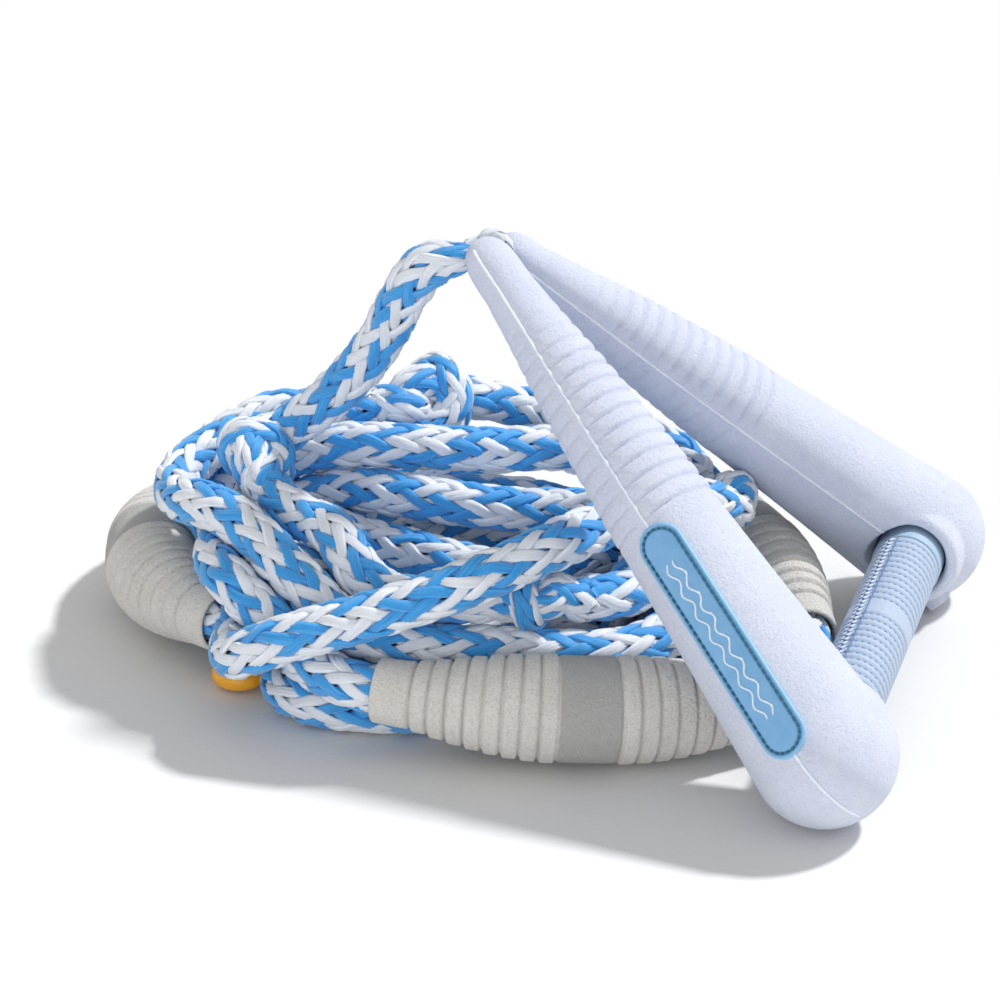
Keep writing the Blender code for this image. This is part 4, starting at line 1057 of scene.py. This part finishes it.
def build_bar(wrap_finish, cuff_finish, thread, lacing_white, lacing_blue):
    """The quilted wrap with its rows of stitches, the two cuffs and the lacing."""
    span = np.linalg.norm(BULB_FAR - BULB_NEAR)
    cuff_end = BAR_END + CUFF_LENGTH
    first = cuff_end + GAP
    last = span - first
    stations = np.arange(first, last, 0.0004)
    rows = [span / 2 + side * (BAND_HALF + ROW_PITCH * k) for side in (-1, 1) for k in range(ROWS_EACH_SIDE)]
    rows = [row for row in rows if first + 0.001 < row < last - 0.001]
    outer = np.full(len(stations), WRAP_R)
    for row in rows:
        outer -= 0.00100 * np.exp(-((stations - row) / 0.0011) ** 2)
    ends = np.minimum(stations - first, last - stations)
    outer -= 0.0005 * np.clip(1 - ends / 0.0008, 0, 1) ** 2
    bar_sleeve("wrap_quilted", stations, outer, CUSHION_R + GAP, "bar_wrap", "wrap_blue", wrap_finish)
    for label, a, z in (("near", BAR_END, cuff_end), ("far", span - cuff_end, span - BAR_END)):
        s = np.linspace(a, z, 50)
        ends = np.minimum(s - a, z - s)
        r = CUFF_R - 0.0007 * np.clip(1 - ends / 0.0012, 0, 1) ** 2
        bar_sleeve("cuff_" + label, s, r, CUSHION_R + GAP, "bar_cuff_" + label, "cuff_blue", cuff_finish)
    lines = []
    for i, row in enumerate(rows):
        for k in range(ROW_STITCHES):
            angle = 360.0 * (k + 0.5 * (i % 2)) / ROW_STITCHES
            if abs((angle - LACING_TURN + 180) % 360 - 180) < LACING_CLEAR:
                continue
            line = []
            for q in range(4):
                w = angle + 360.0 / ROW_STITCHES * 0.50 * (q / 3 - 0.5)
                lift = WRAP_R - 0.00062 - 0.00030 * (abs(q - 1.5) / 1.5) ** 2
                line.append(BULB_NEAR + BAR_DIR * row + bar_turn(w) * lift)
            lines.append(line)
    threads("wrap_stitches", lines, 0.00032, BAR_DIR, "bar", thread, "wrap_blue")
    build_lacing(first, last, lacing_white, lacing_blue)


def build_lacing(first, last, white, blue):
    """Cross stitches that close the wrap: white one way, dark blue the other, and a dark edge line."""
    half = math.degrees(LACING_WIDTH / 2 / WRAP_R)
    count = int((last - first - 0.002) / LACING_PITCH)
    whites = []
    blues = []
    for k in range(count):
        d = first + 0.001 + LACING_PITCH * k
        for lines, way, lift in ((whites, 1, 0.0003), (blues, -1, 0.0008)):
            line = []
            for q in range(6):
                s = q / 5
                bow = math.sin(math.pi * s)
                out = bar_turn(LACING_TURN + way * half * (2 * s - 1) * 0.92)
                along = BAR_DIR * (d + LACING_PITCH * 1.25 * s)
                line.append(BULB_NEAR + along + out * (WRAP_R + lift * bow + 0.0001))
            lines.append(line)
    out = bar_turn(LACING_TURN + (half + 3)) * (WRAP_R - 0.0001)
    edge = [[BULB_NEAR + BAR_DIR * (first + (last - first) * q / 60) + out for q in range(61)]]
    obj = threads("lacing_white", whites, 0.00085, BAR_DIR, "bar", white, "lacing_blue")
    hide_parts("wrap_lacing")
    threads("lacing_dark", blues + edge, 0.00048, BAR_DIR, "bar", blue, "lacing_blue")


# ---- materials -------------------------------------------------------------------


class Shader:
    """A node material built step by step round one Principled BSDF."""

    def __init__(self, name, roughness, **inputs):
        self.material = bpy.data.materials.new(name)
        self.material.use_nodes = True
        self.tree = self.material.node_tree
        self.bsdf = self.tree.nodes["Principled BSDF"]
        self.set(self.bsdf, Roughness=roughness, **inputs)
        self.where = self.tree.nodes.new("ShaderNodeTexCoord").outputs["Object"]

    def set(self, node, **inputs):
        for key, value in inputs.items():
            node.inputs[key.replace("_", " ")].default_value = value

    def add(self, kind, output=0, links=None, props=None, **inputs):
        """Adds a node, sets its properties and inputs, links sockets to it, and gives one of its outputs."""
        node = self.tree.nodes.new(kind)
        for key, value in (props or {}).items():
            setattr(node, key, value)
        self.set(node, **inputs)
        for key, socket in (links or {}).items():
            self.tree.links.new(socket, node.inputs[key])
        return node.outputs[output]

    def noise(self, scale, detail=4.0, roughness=0.6, vector=None):
        links = {"Vector": vector or self.where}
        return self.add("ShaderNodeTexNoise", links=links, Scale=scale, Detail=detail, Roughness=roughness)

    def cells(self, scale, vector=None):
        return self.add("ShaderNodeTexVoronoi", links={"Vector": vector or self.where}, Scale=scale)

    def level(self, socket, low, high, out_low=0.0, out_high=1.0):
        """Maps low to high onto out_low to out_high, held at its ends."""
        return self.add("ShaderNodeMapRange", links={"Value": socket},
                        From_Min=low, From_Max=high, To_Min=out_low, To_Max=out_high)

    def math(self, operation, a, b):
        node = self.tree.nodes.new("ShaderNodeMath")
        node.operation = operation
        for k, v in ((0, a), (1, b)):
            if isinstance(v, float):
                node.inputs[k].default_value = v
            else:
                self.tree.links.new(v, node.inputs[k])
        return node.outputs[0]

    def attribute(self, name):
        return self.add("ShaderNodeAttribute", "Fac", props={"attribute_name": name})

    def mix(self, share, a, b):
        """Blends two colours, each a socket or a tuple."""
        node = self.tree.nodes.new("ShaderNodeMix")
        node.data_type = "RGBA"
        for key, value in ((0, share), (6, a), (7, b)):
            if isinstance(value, tuple):
                node.inputs[key].default_value = (*value, 1.0)
            elif isinstance(value, float):
                node.inputs[key].default_value = value
            else:
                self.tree.links.new(value, node.inputs[key])
        return node.outputs[2]

    def colour(self, socket):
        self.tree.links.new(socket, self.bsdf.inputs["Base Color"])

    def rough(self, socket):
        self.tree.links.new(socket, self.bsdf.inputs["Roughness"])

    def bump(self, socket, strength, distance):
        """Adds a height to the surface's bump, on top of what is there."""
        node = self.tree.nodes.new("ShaderNodeBump")
        self.set(node, Strength=strength, Distance=distance)
        self.tree.links.new(socket, node.inputs["Height"])
        link = self.bsdf.inputs["Normal"].links
        if link:
            self.tree.links.new(link[0].from_socket, node.inputs["Normal"])
        self.tree.links.new(node.outputs[0], self.bsdf.inputs["Normal"])


def rope_finish():
    """White and azure film yarns: fine fibres along each strand, a soft sheen and broad pale blue blotches at
    random.
    """
    s = Shader("rope_blue_white", 0.42, Sheen_Weight=0.5, Sheen_Roughness=0.4, Specular_IOR_Level=0.45)
    across = s.attribute("across")
    along = s.attribute("along")
    seed = s.attribute("seed")
    spread = {0: s.math("MULTIPLY", across, 7.0), 1: s.math("MULTIPLY", along, 70.0),
              2: s.math("MULTIPLY", seed, 37.0)}
    vector = s.add("ShaderNodeCombineXYZ", links=spread)
    fibre = s.noise(0.9, 5.0, 0.65, vector)
    broad = s.noise(0.5, 2.0, 0.5, vector)
    streak = s.noise(1.5, 3.0, 0.7, vector)
    white = s.mix(s.level(fibre, 0.35, 0.7), (0.82, 0.885, 0.99), (0.985, 0.99, 1.0))
    white = s.mix(s.level(streak, 0.56, 0.70, 0.0, 0.38), white, (0.46, 0.64, 0.93))
    blue = s.mix(s.level(fibre, 0.3, 0.7), (0.012, 0.27, 0.76), (0.06, 0.48, 0.98))
    blue = s.mix(s.level(streak, 0.56, 0.72, 0.0, 0.5), blue, (0.14, 0.55, 0.96))
    tone = s.mix(s.attribute("tint"), white, blue)
    s.colour(s.mix(s.level(broad, 0.55, 0.8, 0.0, 0.18), tone, (0.60, 0.72, 0.93)))
    s.rough(s.level(fibre, 0.3, 0.7, 0.34, 0.58))
    s.bump(fibre, 0.75, 0.0009)
    s.bump(streak, 0.4, 0.0004)
    return s.material


def foam_arm_finish():
    """Pale lilac foam with a suede-like grain."""
    s = Shader("foam_lilac", 0.72, Sheen_Weight=0.35, Sheen_Roughness=0.5, Specular_IOR_Level=0.35)
    grain = s.noise(1500.0, 3.0, 0.6)
    suede = s.noise(620.0, 4.0, 0.7)
    patch = s.noise(45.0, 3.0, 0.5)
    base = s.mix(s.level(patch, 0.35, 0.65), (0.715, 0.765, 0.93), (0.765, 0.81, 0.955))
    s.colour(s.mix(s.level(suede, 0.5, 0.75, 0.0, 0.45), base, (0.59, 0.65, 0.85)))
    s.rough(s.level(suede, 0.3, 0.7, 0.62, 0.82))
    s.bump(suede, 0.95, 0.0013)
    s.bump(grain, 0.75, 0.0007)
    return s.material


def seam_finish():
    """The paler foam of the raised parting line."""
    s = Shader("seam_line", 0.6, Sheen_Weight=0.2)
    s.colour(s.mix(s.level(s.noise(500.0), 0.4, 0.7), (0.80, 0.86, 0.97), (0.90, 0.94, 1.0)))
    s.bump(s.noise(900.0), 0.3, 0.0003)
    return s.material


def badge_finish():
    """Satin blue panel with a darker teal stitch channel and a fine grain."""
    s = Shader("badge_blue", 0.45, Specular_IOR_Level=0.5)
    inset = s.attribute("inset")
    grain = s.noise(1400.0, 3.0, 0.6)
    panel = s.mix(s.level(s.noise(120.0, 3.0), 0.3, 0.7), (0.17, 0.41, 0.70), (0.22, 0.46, 0.74))
    off = s.math("ABSOLUTE", s.math("SUBTRACT", inset, STITCH_INSET), 0.0)
    channel = s.level(off, 0.0004, 0.0011, 1.0, 0.0)
    edge = s.level(inset, 0.0006, 0.0014, 1.0, 0.0)
    tone = s.mix(s.math("MULTIPLY", channel, 0.85), panel, (0.055, 0.22, 0.36))
    s.colour(s.mix(s.math("MULTIPLY", edge, 0.45), tone, (0.30, 0.58, 0.78)))
    s.rough(s.level(grain, 0.3, 0.7, 0.38, 0.52))
    s.bump(grain, 0.18, 0.0004)
    return s.material


def plain_finish(name, dark, light, roughness, scale, bump, sheen=0.0):
    """A grained or woven single-colour finish: two tones by noise, roughness variation and a fine bump."""
    s = Shader(name, roughness, Sheen_Weight=sheen)
    grain = s.noise(scale, 4.0, 0.65)
    patch = s.noise(60.0, 3.0, 0.5)
    tone = s.mix(s.level(grain, 0.3, 0.7), dark, light)
    s.colour(s.mix(s.level(patch, 0.5, 0.8, 0.0, 0.3), tone, dark))
    s.rough(s.level(grain, 0.3, 0.7, roughness - 0.07, roughness + 0.07))
    s.bump(grain, bump, 0.0005)
    return s.material


def float_finish():
    """Warm light grey foam: dense speckle and small pores, with a darker middle band, and painted shade in
    the bore and on the inner part of each end face.
    """
    s = Shader("float_grey", 0.88, Sheen_Weight=0.15, Specular_IOR_Level=0.3)
    speckle = s.noise(1100.0, 4.0, 0.75)
    pores = s.cells(700.0)
    patch = s.noise(70.0, 3.0, 0.5)
    base = s.mix(s.level(patch, 0.3, 0.7), (0.82, 0.80, 0.75), (0.90, 0.88, 0.83))
    tone = s.mix(s.level(speckle, 0.50, 0.70, 0.0, 0.65), base, (0.50, 0.48, 0.44))
    band = s.level(s.attribute("from_middle"), FLOAT_BAND - 0.0006, FLOAT_BAND + 0.0002, 1.0, 0.0)
    tone = s.mix(s.math("MULTIPLY", band, 0.85), tone, (0.47, 0.47, 0.46))
    # painted shade: the bore and the inner part of each end face, where from_middle is 1.0, are darkened
    # towards dark grey
    inner = s.level(s.attribute("from_middle"), 0.5, 0.9)
    s.colour(s.mix(s.math("MULTIPLY", inner, 0.55), tone, (0.33, 0.33, 0.32)))
    s.bump(pores, 0.6, 0.0009)
    s.bump(speckle, 1.0, 0.0012)
    return s.material


# ---- stage, light and camera -----------------------------------------------------

WORLD_LIGHT = 0.57
KEY_POWER = 3.05
FILL_POWER = 15.0


def area_light(name, place, aim, size, power, colour=(1.0, 1.0, 1.0)):
    data = bpy.data.lights.new(name, "AREA")
    data.shape = "DISK"
    data.size = size
    data.energy = power
    data.color = colour
    add_light(data, place, aim)


def add_light(data, place, aim):
    light = bpy.data.objects.new(data.name, data)
    light.location = Vector(place)
    light.rotation_mode = "QUATERNION"
    light.rotation_quaternion = (Vector(aim) - Vector(place)).to_track_quat("-Z", "Y")
    bpy.context.scene.collection.objects.link(light)


def build_stage():
    """A pale floor under an even white world, a sun and a low fill in front."""
    size = 6.0
    corners = [(-size, -size, 0.0), (size, -size, 0.0), (size, size, 0.0), (-size, size, 0.0)]
    mesh = bpy.data.meshes.new("floor")
    mesh.from_pydata(corners, [], [(0, 1, 2, 3)])
    floor = bpy.data.objects.new("floor", mesh)
    floor.location.z = -0.0004
    bpy.context.scene.collection.objects.link(floor)
    s = Shader("floor_pale", 0.7, Specular_IOR_Level=0.2)
    s.set(s.bsdf, Base_Color=(0.77, 0.77, 0.77, 1.0))
    mesh.materials.append(s.material)
    world = bpy.data.worlds.new("studio")
    bpy.context.scene.world = world
    world.use_nodes = True
    background = world.node_tree.nodes["Background"]
    background.inputs["Color"].default_value = (1.0, 1.0, 1.0, 1.0)
    background.inputs["Strength"].default_value = WORLD_LIGHT
    key = bpy.data.lights.new("key", "SUN")
    key.energy = KEY_POWER
    key.angle = math.radians(5.5)
    add_light(key, (1.2, 0.72, 1.65), (0.0, 0.0, 0.0))
    area_light("fill", (-0.5, -2.4, 0.55), (0.0, 0.0, 0.08), 1.4, FILL_POWER, (0.97, 0.98, 1.0))


def plain_view():
    """Shows the scene's own tones, without a film curve."""
    bpy.context.scene.view_settings.view_transform = "Standard"


def build_camera():
    """The camera: its height and distance follow from the view's elevation and its long lens."""
    elevation = math.radians(24.0)
    distance = 1.44
    data = bpy.data.cameras.new("view")
    data.lens = 110.16
    data.sensor_width = 36.0
    camera = bpy.data.objects.new("view", data)
    aim = Vector((0.0, 0.0, 0.07)) + PLACE
    back = Vector((0.0, -math.cos(elevation), math.sin(elevation)))
    camera.location = aim + back * distance
    camera.rotation_mode = "QUATERNION"
    camera.rotation_quaternion = (-back).to_track_quat("-Z", "Y")
    bpy.context.scene.collection.objects.link(camera)
    bpy.context.scene.camera = camera


rope = rope_finish()
foam = foam_arm_finish()
lead = build_rope(rope)
build_bridle(rope, lead[5])
build_boat_loop(rope, plain_finish("sleeve_orange", (0.85, 0.36, 0.01), (0.95, 0.46, 0.03), 0.35, 300.0, 0.1))
build_floats(float_finish())
seam = seam_finish()
for is_near in (True, False):
    build_arm(is_near, foam, seam)
    build_badge(is_near, badge_finish(),
                plain_finish("badge_thread", (0.012, 0.09, 0.18), (0.03, 0.16, 0.28), 0.6, 900.0, 0.4),
                plain_finish("badge_mark", (0.72, 0.80, 0.88), (0.85, 0.90, 0.95), 0.5, 700.0, 0.1))
build_bar(plain_finish("wrap_blue", (0.355, 0.445, 0.59), (0.42, 0.505, 0.64), 0.68, 900.0, 0.3, 0.2),
          plain_finish("cuff_blue", (0.345, 0.475, 0.63), (0.40, 0.53, 0.68), 0.5, 700.0, 0.15),
          plain_finish("wrap_thread", (0.12, 0.26, 0.50), (0.24, 0.40, 0.64), 0.7, 800.0, 0.4),
          plain_finish("lacing_white", (0.55, 0.65, 0.80), (0.74, 0.82, 0.93), 0.65, 800.0, 0.4),
          plain_finish("lacing_dark", (0.09, 0.17, 0.36), (0.17, 0.27, 0.48), 0.7, 800.0, 0.4))
metal = plain_finish("tube_metal", (0.55, 0.56, 0.58), (0.68, 0.69, 0.71), 0.35, 500.0, 0.1)
black = plain_finish("plug_black", (0.03, 0.03, 0.035), (0.06, 0.06, 0.07), 0.5, 500.0, 0.1)
cushion = plain_finish("cushion_foam", (0.09, 0.10, 0.12), (0.15, 0.16, 0.18), 0.85, 700.0, 0.4)
# the frame's own hidden parts inside the bar
for node, made in (("bar_tube", metal), ("tube_plug_near", black), ("tube_plug_far", black),
                   ("bar_cushion", cushion)):
    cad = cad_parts[node]
    cad.data.materials.clear()
    cad.data.materials.append(made)
build_stage()
plain_view()
build_camera()
